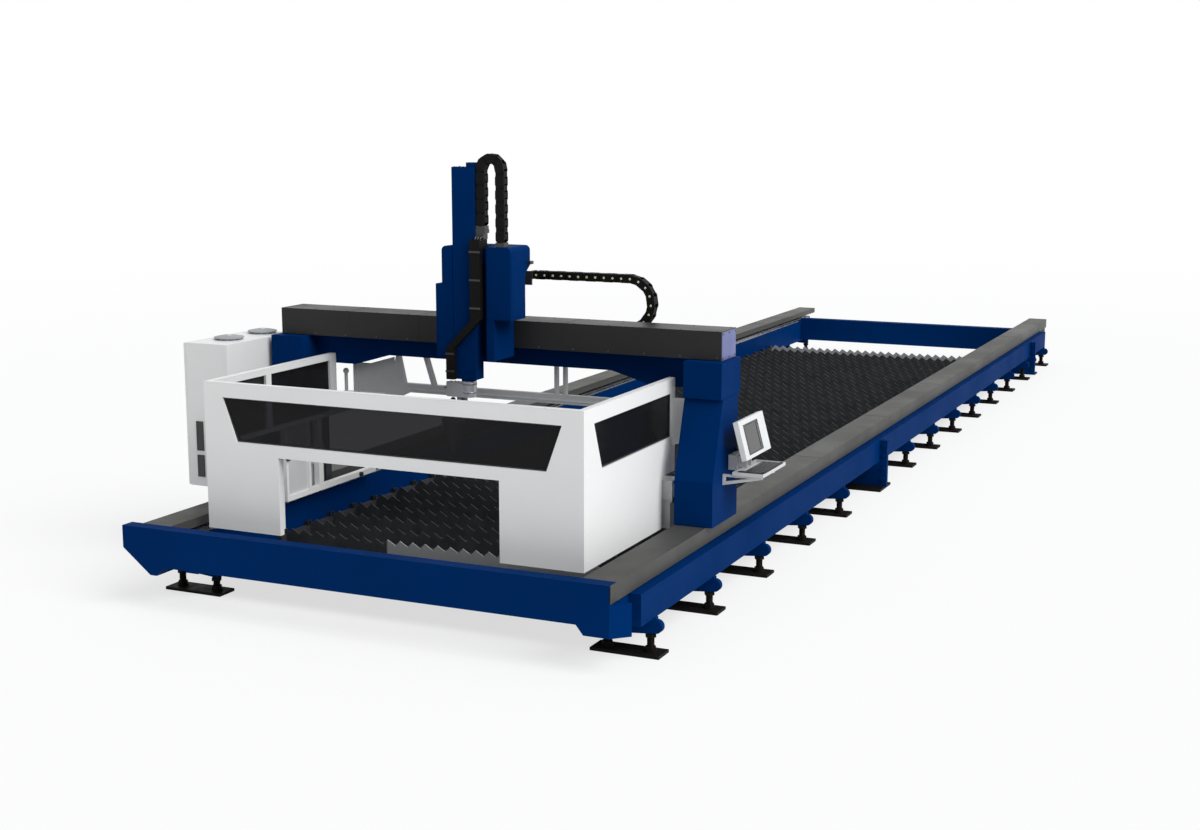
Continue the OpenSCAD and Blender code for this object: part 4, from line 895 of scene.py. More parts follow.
@dataclass
class Portal(Assembly):
    """Legs, crossbeam, its cover and end plates, and the rear header.

    Attributes:
        front: Place of the crossbeam cover's front face.
        low: Height of its lower edge.
        top: Height of its top.
        half: Half of its width.
        seam: Height of the joint between the legs and the crossbeam.
    """

    front: float = 1748.0
    low: float = 1635.0
    top: float = 1825.0
    half: float = 1731.0
    seam: float = 1386.0

    nodes = {
        BLUE_COAT: ("left_leg", "right_leg", "crossbeam", "cabinet_brackets"),
        CAP_PAINT: ("beam_end_caps",),
        BEAM_COAT: ("beam_cover", "chain_trough"),
        GROUND_STEEL: ("x_guides",),
        DARK_STEEL: ("y_guide_blocks",),
        GREY_COAT: ("y_drive_housings", "rear_header"),
    }

    def parts(self) -> Sequence[Callable[[], None]]:
        """Return the methods that build the pieces, in order."""
        return self.cover_seams, self.cover_screws, self.leg_welds, self.wipers, self.lamp_lens

    def cover_seams(self) -> None:
        """Build the screwed lap straps of the crossbeam cover."""
        form = Form()
        for x in steps_along(-1150, 1150, 575):
            wide = (x - 12, x + 12)
            form.block(wide, (self.front - 1.2, self.front + 1), (self.low + 2, self.top), 0.5)
            form.block(wide, (self.front - 1, 2020), (self.top - 1, self.top + 1.2), 0.5)
        form.done("beam_cover_laps", BEAM_COAT, "gantry", "cover_paint")

    def cover_screws(self) -> None:
        """Build the button screws of the crossbeam cover and of its end plates."""
        form = Form()
        for x in steps_along(-1700, 1700, 283):
            form.screw(Head.BEAM, at(x, self.front, self.low + 14), AHEAD)
            form.screw(Head.BEAM, at(x, 2000, self.top), UP)
            form.screw(Head.BEAM, at(x, self.front + 16, self.top), UP)
        for side in SIDES:
            for y in (1775, 1890, 2005):
                for z in (1645, 1806):
                    form.screw(Head.BEAM, at(side * self.half, y, z), RIGHT * side)
        form.done("beam_cover_screws", DARK_STEEL, "gantry", "ground_steel")

    def leg_welds(self) -> None:
        """Build the weld beads along the joint of each leg and the crossbeam."""
        form = Form()
        for side in SIDES:
            form.weld([at(side * x, 1690, self.seam) for x in (1500, 1630, LEG_OUT - 2)], 4.0)
            form.weld([at(side * LEG_OUT, y, self.seam) for y in (1692, 1830, 1978)], 4.0)
        form.done("leg_welds", BLUE_COAT, "gantry", "blue_paint")

    def wipers(self) -> None:
        """Build the rubber wipers that ride along the inner rail edge in front of the guide blocks."""
        form = Form()
        for side in SIDES:
            for y in (1516, 1606, 1861, 1951):
                form.block((side * 1434, side * 1445), (y, y + 8), (463, 497), 1.0)
        form.done("guide_wipers", RUBBER, "gantry", "stop_rubber")

    def lamp_lens(self) -> None:
        """Build the lens of the light bar under the crossbeam."""
        form = Form()
        form.block((-778, 1198), (1930, 1943), (1247, 1261), 2.0)
        form.done("work_light_lens", PALE_ABS, "gantry", "screen_plastic")


@dataclass
class Enclosure(Assembly):
    """Screens round the cutting zone: panels, smoked panes, seals, stiffeners, caps and strips.

    Attributes:
        half: Half of the width over the screens.
        front: Place of the front panel's face.
        depth: Thickness of a panel.
        low: Height of the panels' lower edge.
        top: Height of their upper edge.
        window: The front window's half width below and above, and its lower and upper height.
        bay: Half of the doorway's width.
        left_pane: Distance of the left panes' seals from the centreline.
    """

    half: float = 1385.0
    front: float = 360.0
    depth: float = 45.0
    low: float = 505.0
    top: float = 1493.0
    window: tuple[float, float, float, float] = (1134.0, 1239.0, 1106.0, 1397.0)
    bay: float = 812.0
    left_pane: float = -1366.0

    nodes = {
        WHITE_COAT: ("front_panel", "right_panel", "left_frame", "wing_plates"),
        GREY_COAT: ("left_infill",),
        PANE: ("front_window", "right_window", "left_windows"),
        BLACK_ABS: ("frame_knobs",),
    }

    def parts(self) -> Sequence[Callable[[], None]]:
        """Return the methods that build the pieces, in order."""
        return self.seals, self.stiffeners, self.screws, self.top_caps, self.brush_strips

    def front_edge(self, y: float, grow: float) -> list[Vector]:
        """Return the corners of the front window.

        Args:
            y: Depth of the outline.
            grow: How far it is grown on all sides.

        Returns:
            The corners in order.
        """
        low, high, z0, z1 = self.window
        return [at(-low - grow, y, z0 - grow), at(low + grow, y, z0 - grow), at(high + grow, y, z1 + grow),
                at(-high - grow, y, z1 + grow)]

    def side_edge(self, x: float, grow: float) -> list[Vector]:
        """Return the corners of the right window.

        Args:
            x: Distance of the outline from the centreline.
            grow: How far it is grown on all sides.

        Returns:
            The corners in order.
        """
        return [at(x, 622 - grow, 1100 - grow), at(x, 1740 + grow, 1100 - grow),
                at(x, 1740 + grow, 1397 + grow), at(x, 505 - grow, 1397 + grow)]

    def seals(self) -> None:
        """Build the black rubber seals round the panes, inside the reveals."""
        form = Form()
        for edge, places, push in ((self.front_edge, (self.front + 12, self.front + 28), BACK),
                                   (self.side_edge, (self.half - 18, self.half - 34), RIGHT)):
            for place in places:
                form.ring(edge(place, -0.5), edge(place, -9), push * 6 * MM)
        for y0, y1 in ((435, 990), (1050, 1780)):
            form.rim(partial(at, self.left_pane), (y0, 1070), (y1, 1450), 9, RIGHT * 8 * MM)
        form.done("window_seals", RUBBER, "gantry", "stop_rubber")

    def stiffeners(self) -> None:
        """Build the folded stiffeners and posts on the inside of the front and right panels."""
        form = Form()
        inside = (self.front + self.depth, self.front + self.depth + 30)
        for side in SIDES:
            form.block((side * (self.bay + 10), side * (self.bay + 50)), inside, (self.low + 30, 1080), 2.0)
            form.block((side * 1270, side * 1310), inside, (self.low + 30, self.top - 30), 2.0)
        for z in (1042, 1412):
            form.block((-1260, 1260), inside, (z, z + 36), 2.0)
        inside = (self.half - self.depth - 28, self.half - self.depth)
        for y in (470, 1010, 1560):
            form.block(inside, (y, y + 40), (self.low + 30, 1085), 2.0)
        form.block(inside, (520, 1560), (1052, 1088), 2.0)
        form.block(inside, (440, 1740), (1412, 1448), 2.0)
        form.done("panel_stiffeners", WHITE_COAT, "gantry", "panel_paint")

    def screws(self) -> None:
        """Build the screws that join the panels at their corners and hold the left frame."""
        form = Form()
        corner = self.front + 60
        for z in steps_along(self.low + 60, self.top - 60, 190):
            form.screw(Head.PANEL, at(self.half, corner, z), RIGHT)
            if z > 1060:
                form.screw(Head.PANEL, at(-self.half, corner, z), LEFT)
        for y in (1215, 1485, 1625):
            for z in (525, 1055):
                form.screw(Head.PANEL, at(-self.half, y, z), LEFT)
        form.done("panel_screws", WHITE_COAT, "gantry", "panel_paint")

    def top_caps(self) -> None:
        """Build the pressed top caps of the screens."""
        form = Form()
        height = (self.top - 1, self.top + 3)
        back = self.front + self.depth + 2
        form.block((-self.half, self.half), (self.front - 1, back - 1), height, 1.5)
        inner, outer = self.half - self.depth - 1, self.half + 1
        for side, end in ((1, 1800), (-1, 1859)):
            form.block((side * inner, side * outer), (back, end), height, 1.5)
        form.done("screen_top_caps", WHITE_COAT, "gantry", "panel_paint")

    def brush_strips(self) -> None:
        """Build the brush strips under the screens that close the gap above the base."""
        form = Form()
        height = (self.low - 3, self.low + 1)
        for side in SIDES:
            wide = (side * (self.bay + 6), side * (self.half - 6))
            form.block(wide, (self.front + 15, self.front + 27), height, 1.0)
        form.block((self.half - 30, self.half - 18), (self.front + 50, 1570), height, 1.0)
        form.done("screen_brush_strips", RUBBER, "gantry", "stop_rubber")


@dataclass
class Cabinet(Assembly):
    """Control cabinet: shell, door, roof hoods and cable entries.

    Attributes:
        left: Distance of the door's face from the centreline.
        right: Distance of the shell's inner side.
        front: Place of the shell's front.
        top: Height of the shell.
        hood_x: Distance of the roof hoods' axes from the centreline.
        hoods: Places of the hoods' axes along the machine.
        hood_ring: Radius of the ring of posts under a hood.
        lead_z: Height of the cables to the leg.
        seal_x: Distance of the door's seal from the centreline.
    """

    left: float = -2185.0
    right: float = -1805.0
    front: float = 1170.0
    top: float = 1610.0
    hood_x: float = -1990.0
    hoods: Pair = (1450.0, 1858.0)
    hood_ring: float = 96.0
    lead_z: float = 900.0
    seal_x: float = -2166.2

    nodes = {
        WHITE_COAT: ("cabinet_shell", "cabinet_door"),
        UNIT_COAT: ("cabinet_fittings", "roof_hoods"),
        BLACK_ABS: ("cabinet_louvres",),
    }

    def parts(self) -> Sequence[Callable[[], None]]:
        """Return the methods that build the pieces, in order."""
        return self.pull_rim, self.hood_posts, self.glands, self.louvre_screws, self.door_seal

    def pull_rim(self) -> None:
        """Build the moulded rim of the finger pull in the door, and the key lock's escutcheon above it."""
        form = Form()
        form.rim(partial(at, self.left), (1177, 993), (1217, 1187), 8, LEFT * 3 * MM)
        form.turned([(11.0, 0.0), (12.0, 2.0), (11.0, 4.0), (5.0, 4.0)], at(self.left, 1197, 1215), LEFT, 20)
        form.done("cabinet_pull_rim", BLACK_ABS, "door", "knob_plastic")

    def hood_posts(self) -> None:
        """Build the ring of posts under each roof hood, and the nut on top of it."""
        form = Form()
        for y in self.hoods:
            for k in range(12):
                a = 2 * math.pi * k / 12
                across, along = self.hood_ring * math.cos(a), self.hood_ring * math.sin(a)
                form.turned([(3.0, 0.0), (3.0, 12.0)], at(self.hood_x + across, y + along, self.top), UP, 8)
            form.turned([(20.0, 0.0), (18.0, 6.0), (6.0, 9.0)], at(self.hood_x, y, self.top + 30), UP, 20)
        form.done("roof_hood_posts", GREY_COAT, "gantry", "grey_paint")

    def glands(self) -> None:
        """Build the row of cable glands and short leads that run from the cabinet to the leg."""
        form = Form()
        for i in range(5):
            y = 1720 + i * 44
            form.tube([at(x, y, self.lead_z) for x in (self.right, -1796, -1780, -LEG_OUT)], 12.0, 12)
            form.bolt(at(self.right, y, self.lead_z), RIGHT, 32.0, 12.0)
            form.bolt(at(-LEG_OUT, y, self.lead_z), LEFT, 32.0, 12.0)
        form.done("cabinet_cable_glands", BLACK_ABS, "gantry", "chain_plastic")

    def louvre_screws(self) -> None:
        """Build the screws of the two louvred inlets."""
        form = Form()
        for z in (828, 1037, 635, 789):
            for x in (-2093, -2039):
                form.screw(Head.LOUVRE, at(x, self.front - 7, z), AHEAD)
        form.done("louvre_screws", BLACK_ABS, "gantry", "knob_plastic")

    def door_seal(self) -> None:
        """Build the rubber seal between the shell and the door."""
        form = Form()
        form.rim(partial(at, self.seal_x), (1176, 568), (1962, 1604), 10, RIGHT * MM)
        form.done("cabinet_door_seal", RUBBER, "gantry", "stop_rubber")


@dataclass
class Console(Assembly):
    """Operator console: screen, tray and keyboard.

    Attributes:
        pivot: Place of the screen's pin.
        lean: How far the screen leans back, in degrees.
        width: Width of the screen housing.
        height: Height of the screen housing above its pin.
        face: Distance of the housing's face ahead of the pin, at right angles to the display.
    """

    pivot: Point = (1877.0, 1925.0, 1008.0)
    lean: float = 15.0
    width: float = 485.0
    height: float = 262.0
    face: float = 60.0

    nodes = {
        GREY_COAT: ("console_bracket", "keyboard_tray"),
        KEY_ABS: ("keyboard",),
        PALE_ABS: ("monitor",),
    }

    def parts(self) -> Sequence[Callable[[], None]]:
        """Return the methods that build the pieces, in order."""
        return self.display, self.bezel, self.wrist_rest, self.lead

    def leaning(self, x: float, y: float, z: float) -> Vector:
        """Return a point given in the leaning frame of the screen."""
        turn = Matrix.Rotation(math.radians(-self.lean), 3, "Y")
        return at(*self.pivot) + turn @ (Vector((x, y, z)) * MM)

    def out(self, far: float) -> Vector:
        """Return the vector out of the display for a distance."""
        return self.leaning(far, 0, 0) - self.leaning(0, 0, 0)

    def display(self) -> None:
        """Build the switched-off display in the recess of the screen housing."""
        form = Form()
        y0, y1, z0, z1 = 86 - self.width / 2, 334 - self.width / 2, 7, self.height - 77
        form.strip([self.leaning(self.face - 6, y, z) for y, z in ((y0, z0), (y1, z0), (y1, z1), (y0, z1))],
                   self.out(2))
        form.done("monitor_display", SCREEN_GLASS, "screen", "tinted_pane")

    def bezel(self) -> None:
        """Build the raised bezel round the display."""
        form = Form()
        form.rim(partial(self.leaning, self.face), (73 - self.width / 2, -6),
                 (347 - self.width / 2, self.height - 64), 12, self.out(3))
        form.done("monitor_bezel", BLACK_ABS, "screen", "knob_plastic")

    def wrist_rest(self) -> None:
        """Build the wrist rest of the tray and the pointing pad."""
        form = Form()
        form.block((2026, 2050), (1735, 2115), (903, 915), 4.0)
        form.block((1850, 1892), (1712, 1800), (893.5, 900), 2.0)
        form.done("tray_wrist_rest", RUBBER, "gantry", "stop_rubber")

    def lead(self) -> None:
        """Build the lead that runs along the bracket into the leg, held at both ends."""
        form = Form()
        entry = (LEG_OUT, 1960, 1010)
        path = [entry, (1790, 1960, 1010), (1810, 1957, 1004), (1828, 1950, 997), (1840, 1944, 985)]
        form.tube([at(*p) for p in path], 5.0, 10)
        form.turned([(11.0, 0.0), (11.0, 8.0), (7.0, 16.0)], at(*entry), RIGHT, 16)
        form.done("console_lead", BLACK_ABS, "gantry", "chain_plastic")


@dataclass
class EnergyChain:
    """Energy chain with one half turn; links with a share of 1 ride on the mover, links with 0 on the keeper,
    and the rest stay where they are built.

    Attributes:
        node: CAD node that the links stand for.
        mover: Body that pulls the first link.
        keeper: Body that holds the last link.
        start: First joint, at the near face of the chain.
        first: Straight length after the first joint.
        radius: Radius of the half turn, at the joints.
        second: Straight length after the half turn.
        pitch: Length of one link.
        height: Height of the side plates.
        width: Width over the side plates.
        tip: How far a plate's round end reaches past its joint.
        lap: How far an inner plate reaches on behind its neighbours, to cover a run that grows longer.
        upright: Whether the first run goes up, and not to the right.
        plate: Thickness of a side plate.
        gap: Room between an inner plate and the outer ones beside it.
        lid: Thickness of the lids that close the chain inside and outside.
        caps: Finish of the pin caps.
    """

    node: str
    mover: str
    keeper: str
    start: Point
    first: float
    radius: float
    second: float
    pitch: float
    height: float
    width: float
    tip: float
    lap: float
    upright: bool = False
    plate: float = 6.0
    gap: float = 0.3
    lid: float = 4.0
    caps: Finish = PIN_NYLON

    def joints(self) -> list[Pair]:
        """Return the joints of the links in the chain's own plane.

        Returns:
            Distance along the first run and height above it, for each joint.
        """
        bend = math.pi * self.radius
        count = math.floor((self.first + bend + self.second) / self.pitch + 0.001)
        points = []
        for i in range(count + 1):
            s = i * self.pitch
            if s <= self.first:
                points.append((s, 0.0))
            elif s <= self.first + bend:
                q = (s - self.first) / self.radius
                points.append((self.first + self.radius * math.sin(q), self.radius * (math.cos(q) - 1)))
            else:
                points.append((2 * self.first + bend - s, -2 * self.radius))
        return points

    def spot(self, along: float, across: float, above: float) -> Vector:
        """Return the point of the frame for a place in the chain's own plane and across it."""
        x, y, z = self.start
        return at(x - above, y + across, z + along) if self.upright else at(x + along, y + across, z + above)

    def turn(self) -> tuple[int, int]:
        """Return the first link of the half turn and the first one after it."""
        bend = math.pi * self.radius
        return math.floor(self.first / self.pitch), math.ceil((self.first + bend) / self.pitch)

    def share(self, index: int) -> float:
        """Return the share of the mover's travel worked out for a link, half of it in the turn.

        Args:
            index: Number of the link from the first joint.

        Returns:
            1 for the mover's whole travel, 0 for none.
        """
        bend, back = self.turn()
        last = len(self.joints()) - 2
        if index < bend:
            return 1 - 0.5 * index / bend
        return 0.5 if index < back else 0.5 * (last - index) / (last - back + 1)

    def link(self, form: Form, index: int) -> None:
        """Add one link: two round-ended side plates and the lids that close the chain inside and outside.

        Args:
            form: Form to add to.
            index: Number of the link from the first joint.
        """
        points = self.joints()
        (a0, b0), (a1, b1) = points[index], points[index + 1]
        long = math.hypot(a1 - a0, b1 - b0)
        ua, ub = (a1 - a0) / long, (b1 - b0) / long

        def corner(along: float, above: float, across: float) -> Vector:
            """Return a point given along the link, above its middle line and across the chain."""
            return self.spot(a0 + ua * along - ub * above, across, b0 + ub * along + ua * above)

        outer = index % 2 == 0
        bend, back = self.turn()
        ahead = 0 if outer or bend - 1 <= index < back else self.lap
        behind = 0 if outer or bend <= index <= back else self.lap
        inset = 0.0 if outer else self.plate + self.gap
        half = self.height / 2 - (0 if outer else 1.0)
        arc = [math.radians(-90 + 22.5 * k) for k in range(9)]
        shape = [(long + ahead + self.tip * math.cos(q), half * math.sin(q)) for q in arc]
        shape += [(-behind - self.tip * math.cos(q), -half * math.sin(q)) for q in arc]
        push = self.spot(0, self.plate, 0) - self.spot(0, 0, 0)
        for c in (inset, self.width - self.plate - inset):
            form.strip([corner(x, z, c) for x, z in shape], push)
        push = self.spot(0, self.width - 2 * (inset + self.plate), 0) - self.spot(0, 0, 0)
        for low in (half - 1 - self.lid, 1 - half):
            box = ((0.1, low), (0.9, low), (0.9, low + self.lid), (0.1, low + self.lid))
            form.strip([corner(x * long, z, inset + self.plate) for x, z in box], push)

    def pins(self, form: Form, index: int) -> None:
        """Add the pin caps on both faces at the joints of one outer link.

        Args:
            form: Form to add to.
            index: Number of the link from the first joint.
        """
        if index % 2 == 0:
            for a, b in self.joints()[index:index + 2]:
                for c, axis in ((0.0, AHEAD), (self.width, BACK)):
                    form.turned([(8.5, 0.0), (8.5, 1.0), (7.0, 1.6)], self.spot(a, c, b), axis, 14)

    def carry(self, piece: bpy.types.Object, share: float) -> None:
        """Hand a piece to the mover or the keeper when its share is 1 or 0; any other piece is only baked
        where it stands.

        Args:
            piece: Links that move together.
            share: 1 on the mover, 0 on the keeper.
        """
        if share in (0.0, 1.0):
            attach(piece, self.mover if share else self.keeper)
            return
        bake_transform(piece)

    def build(self) -> None:
        """Build each link as one piece and the half turn as one piece, and hand each piece with its share to
        carry.
        """
        dress({CHAIN_NYLON: (self.node,)})
        bend, back = self.turn()
        count = len(self.joints()) - 1
        for group in (*([i] for i in range(bend)), range(bend, back), *([i] for i in range(back, count))):
            for what, add, finish in (("links", self.link, CHAIN_NYLON), ("pins", self.pins, self.caps)):
                form = Form()
                for index in group:
                    add(form, index)
                if not form.bm.faces:
                    form.bm.free()
                    continue
                piece = form.made(f"{self.node}_{what}_{group[0]:02d}", finish, "chain_plastic")
                if what == "links":
                    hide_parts(self.node)
                self.carry(piece, self.share(group[0]))


CROSS_CHAIN = EnergyChain(
    node="x_chain", mover="carriage", keeper="gantry", start=(182.0, 2130.0, 2105.5), first=714.0,
    radius=170.5, second=566.0, pitch=66.0, height=59.0, width=70.0, tip=29.0, lap=40.0)
RAM_CHAIN = EnergyChain(
    node="z_chain", mover="ram", keeper="carriage", start=(103.0, 1460.0, 2506.8), first=358.2, radius=74.0,
    second=491.0, pitch=46.0, height=66.0, width=60.0, tip=21.0, lap=38.0, upright=True, caps=CHAIN_NYLON)


@dataclass
class Carriage(Assembly):
    """Cross carriage with its housing, saddle, drive and guide blocks.

    Attributes:
        left: Distance of the housing's lower left flank from the centreline.
        upper_left: Distance of its upper left flank.
        right: Distance of its right flank.
        front: Place of its front.
        proud: How far the cover plates stand out.
    """

    left: float = -243.0
    upper_left: float = -193.0
    right: float = 334.0
    front: float = 1450.0
    proud: float = 2.5

    nodes = {
        BLUE_COAT: ("carriage_housing", "carriage_saddle"),
        DARK_STEEL: ("x_guide_blocks", "z_guide_blocks"),
        ANODISED_DARK: ("x_drive_box",),
        BLACK_ABS: ("chain_arm",),
    }

    def parts(self) -> Sequence[Callable[[], None]]:
        """Return the methods that build the pieces, in order."""
        return self.plates, self.screws, self.motor_details, self.block_seals

    def plates(self) -> None:
        """Build the screwed cover plates on the front and flanks of the housing."""
        form = Form()
        for x, z in (((-236, -154), (1590, 2080)), ((-186, -116), (2100, 2318)), ((154, 326), (1864, 2318))):
            form.block(x, (self.front - self.proud, self.front + 1), z, 1.0)
        for x, z in ((self.left, (1600, 2075)), (self.upper_left, (2105, 2300))):
            form.block((x - self.proud, x + 1), (1470, 1720), z, 1.0)
        form.block((self.right - 1, self.right + self.proud), (1466, 1650), (1875, 2300), 1.0)
        form.done("housing_cover_plates", BLUE_COAT, "carriage", "blue_paint")

    def screws(self) -> None:
        """Build the button screws of the cover plates."""
        form = Form()
        y, left, right = self.front - self.proud, self.left - self.proud, self.right + self.proud
        rows = [(at(x, y, z), AHEAD) for x in (-228, -162) for z in steps_along(1600, 2070, 160)]
        rows += [(at(x, y, z), AHEAD) for x in (162, 318) for z in steps_along(1876, 2306, 145)]
        rows += [(at(right, y, z), RIGHT) for y in (1480, 1636) for z in steps_along(1888, 2288, 133)]
        rows += [(at(left, y, z), LEFT) for y in (1482, 1708) for z in steps_along(1612, 2062, 150)]
        for place, axis in rows:
            form.screw(Head.HOUSING, place, axis)
        form.done("housing_screws", BLUE_COAT, "carriage", "blue_paint")

    def motor_details(self) -> None:
        """Build the fins, connector and flange bolts of the cross-axis motor."""
        form = Form()
        for k in range(5):
            form.turned([(46.0, 0.0), (47.0, 2.0), (46.0, 4.0)], at(-85, 2155 + k * 9, 1600), BACK)
        form.turned([(13.0, 0.0), (13.0, 12.0), (10.0, 18.0)], at(-85, 2180, 1645), UP, 14)
        for x in (-132, -38):
            for z in (1553, 1647):
                form.bolt(at(x, 2150, z), BACK, 10.0, 6.0)
        form.done("cross_motor_details", ANODISED_DARK, "carriage", "cover_paint")

    def block_seals(self) -> None:
        """Build the rubber end seals of the guide blocks."""
        form = Form()
        for x in (-191, -105, -68, 18):
            for z in (1548, 1745):
                form.block((x, x + 6), (2054, 2078), (z - 29, z + 29), 1.0)
        form.done("guide_block_seals", RUBBER, "carriage", "stop_rubber")


@dataclass
class Ram(Assembly):
    """Vertical ram with its guides, chain gland and flat duct.

    Attributes:
        front: Place of the ram's front face.
        top: Height of its top cap.
        duct: Thickness of the flat duct ahead of the front face.
    """

    front: float = 1450.0
    top: float = 2880.0
    duct: float = 44.0

    nodes = {
        BLUE_COAT: ("ram",),
        GROUND_STEEL: ("z_guide_rails",),
        BLACK_ABS: ("chain_gland",),
        CHAIN_NYLON: ("cable_duct",),
    }

    def parts(self) -> Sequence[Callable[[], None]]:
        """Return the methods that build the pieces, in order."""
        return self.duct_ribs, self.duct_clamps, self.hoses, self.bolts

    def duct_ribs(self) -> None:
        """Build the ribs of the flat duct, level on its two ends and oblique between them."""
        form = Form()
        y = self.front - self.duct
        for x, start, stop in (((-147, -84), 1452, 1640), ((46, 124), 1872, 2388)):
            for z in steps_along(start, stop, 16):
                form.block(x, (y - 1.5, y + 1), (z, z + 4), 0.8)
        for k in range(10):
            s = (k + 0.5) / 10
            x, z = -115.5 + s * 200.5, 1657 + s * 198
            low, high = at(x - 26, y - 1.5, z + 22), at(x + 26, y - 1.5, z - 22)
            along = (high - low).normalized() * 2 * MM
            side = Vector((-along.z, 0, along.x))
            form.strip([low - side, high - side, high + side, low + side], BACK * 2.5 * MM)
        form.done("duct_ribs", CHAIN_NYLON, "ram", "chain_plastic")

    def duct_clamps(self) -> None:
        """Build the strap clamps over the duct."""
        form = Form()
        y = self.front - self.duct
        for x, heights in (((-150, -81), (1490, 1610)), ((43, 127), (1930, 2120, 2310))):
            for z in heights:
                form.block(x, (y - 4, y - 1), (z, z + 14), 1.0)
        form.done("duct_clamps", BLACK_ABS, "ram", "chain_plastic")

    def hoses(self) -> None:
        """Build the glands and the short hoses between the chain gland and the duct."""
        form = Form()
        for x in (80, 100, 120):
            form.turned([(8.5, 0.0), (9.5, 4.0), (9.5, 12.0), (7.0, 16.0)], at(x, 1459.5, 2416), AHEAD, 12)
            path = ((1450, 2416), (1438, 2414), (1429, 2404), (1427, 2390))
            form.tube([at(x, y, z) for y, z in path], 6.5, 10)
        form.done("gland_hoses", BLACK_ABS, "ram", "chain_plastic")

    def bolts(self) -> None:
        """Build the bolts on the ram's top cap and on its foot."""
        form = Form()
        for x, y in ((-92, 1466), (-92, 1539), (-21, 1466), (-21, 1539), (50, 1539)):
            form.bolt(at(x, y, self.top), UP, 13.0, 3.0)
        for z in (1456, 1500):
            for x in (-60, 20, 50):
                form.bolt(at(x, self.front, z), AHEAD, 10.0, 5.0)
        form.done("ram_bolts", BLUE_COAT, "ram", "blue_paint")


@dataclass
class CuttingHead(Assembly):
    """Swivel, tilt arm, cutting head and nozzle.

    Attributes:
        swivel: Place of the swivel's axis.
        beam_x: Distance of the laser beam's axis from the centreline.
        tilt: Height of the tilt axis.
    """

    swivel: Pair = (-21.0, 1502.5)
    beam_x: float = -150.0
    tilt: float = 1222.0

    nodes = {
        ANODISED: ("c_axis", "cutting_head"),
        ANODISED_DARK: ("tilt_arm",),
        COPPER: ("nozzle",),
    }

    def parts(self) -> Sequence[Callable[[], None]]:
        """Return the methods that build the pieces, in order."""
        return (self.swivel_rings, self.tilt_motor_details, self.barrel_rings, self.head_fittings,
                self.clamp_nut)

    def swivel_rings(self) -> None:
        """Build the seal rings, cap screws and connectors of the swivel."""
        form = Form()
        x, y = self.swivel
        for z, height in ((1398, 12.0), (1340, 9.0)):
            form.turned([(52.5, 0.0), (53.5, 3.0), (53.5, height - 3), (52.5, height)], at(x, y, z), UP, 40)
        for k in range(6):
            a = math.radians(40 + 50 * k)
            place = at(self.beam_x + 38 * math.cos(a), y + 38 * math.sin(a), 1408)
            form.turned([(4.0, 0.0), (4.0, 4.0)], place, UP, 10)
        for beside in (-14, 14):
            place = at(self.beam_x - 45, y + beside, 1372)
            form.turned([(10.0, 0.0), (10.0, 10.0), (8.0, 16.0)], place, LEFT, 14)
        form.done("swivel_rings_and_screws", ANODISED_DARK, "swivel", "head_metal")

    def tilt_motor_details(self) -> None:
        """Build the motor end cover, its screws and its connector on the tilt arm."""
        form = Form()
        y, z = self.swivel[1], self.tilt
        form.turned([(29.0, 0.0), (31.0, 2.0), (31.0, 7.0), (26.0, 10.0)], at(-18, y, z), RIGHT, 32)
        for k in range(6):
            a = 2 * math.pi * k / 6
            place = at(-8, y + 21 * math.cos(a), z + 21 * math.sin(a))
            form.turned([(3.0, 0.0), (3.0, 2.0)], place, RIGHT, 8)
        form.turned([(9.0, 0.0), (9.0, 10.0), (7.0, 16.0)], at(-42, y, z - 29), DOWN, 14)
        form.done("tilt_motor_details", BLACK_ABS, "swivel", "chain_plastic")

    def barrel_rings(self) -> None:
        """Build the joint rings, focus ring and window drawer of the cutting head."""
        form = Form()
        x, y = self.beam_x, self.swivel[1]
        for z in (1262, 1236, 1200):
            form.turned([(44.2, 0.0), (45.5, 1.2), (45.5, 3.8), (44.2, 5.0)], at(x, y, z), UP, 40)
        knurl = [(45.8 if k % 2 else 44.6, 1 + k * 0.5) for k in range(30)]
        form.turned([(44.2, 0.0), *knurl, (44.2, 17.0)], at(x, y, 1206), UP, 48)
        form.block((x - 20, x + 20), (y - 60, y - 40), (1176, 1190), 2.0)
        form.done("barrel_rings", ANODISED_DARK, "head", "head_metal")

    def head_fittings(self) -> None:
        """Build the gas fitting, fibre socket and sensor plug of the cutting head."""
        form = Form()
        x, y = self.beam_x, self.swivel[1]
        form.turned([(16.0, 0.0), (17.0, 3.0), (17.0, 14.0), (12.0, 18.0), (10.0, 22.0)], at(x, y, 1278), UP)
        form.bolt(at(x - 66, y, 1240), LEFT, 20.0, 10.0)
        form.turned([(7.0, 0.0), (7.0, 22.0)], at(x - 76, y, 1240), LEFT, 12)
        form.turned([(9.0, 0.0), (9.0, 12.0), (6.0, 20.0)], at(x, y + 74, 1120), BACK, 14)
        form.done("head_fittings", BLACK_ABS, "head", "chain_plastic")

    def clamp_nut(self) -> None:
        """Build the insulating clamp nut above the nozzle."""
        form = Form()
        place = at(self.beam_x, self.swivel[1], 918)
        form.turned([(24.5, 0.0), (27.0, 2.0), (27.0, 10.0), (24.5, 12.0)], place, UP, 32)
        form.done("nozzle_clamp_nut", BLACK_ABS, "head", "chain_plastic")


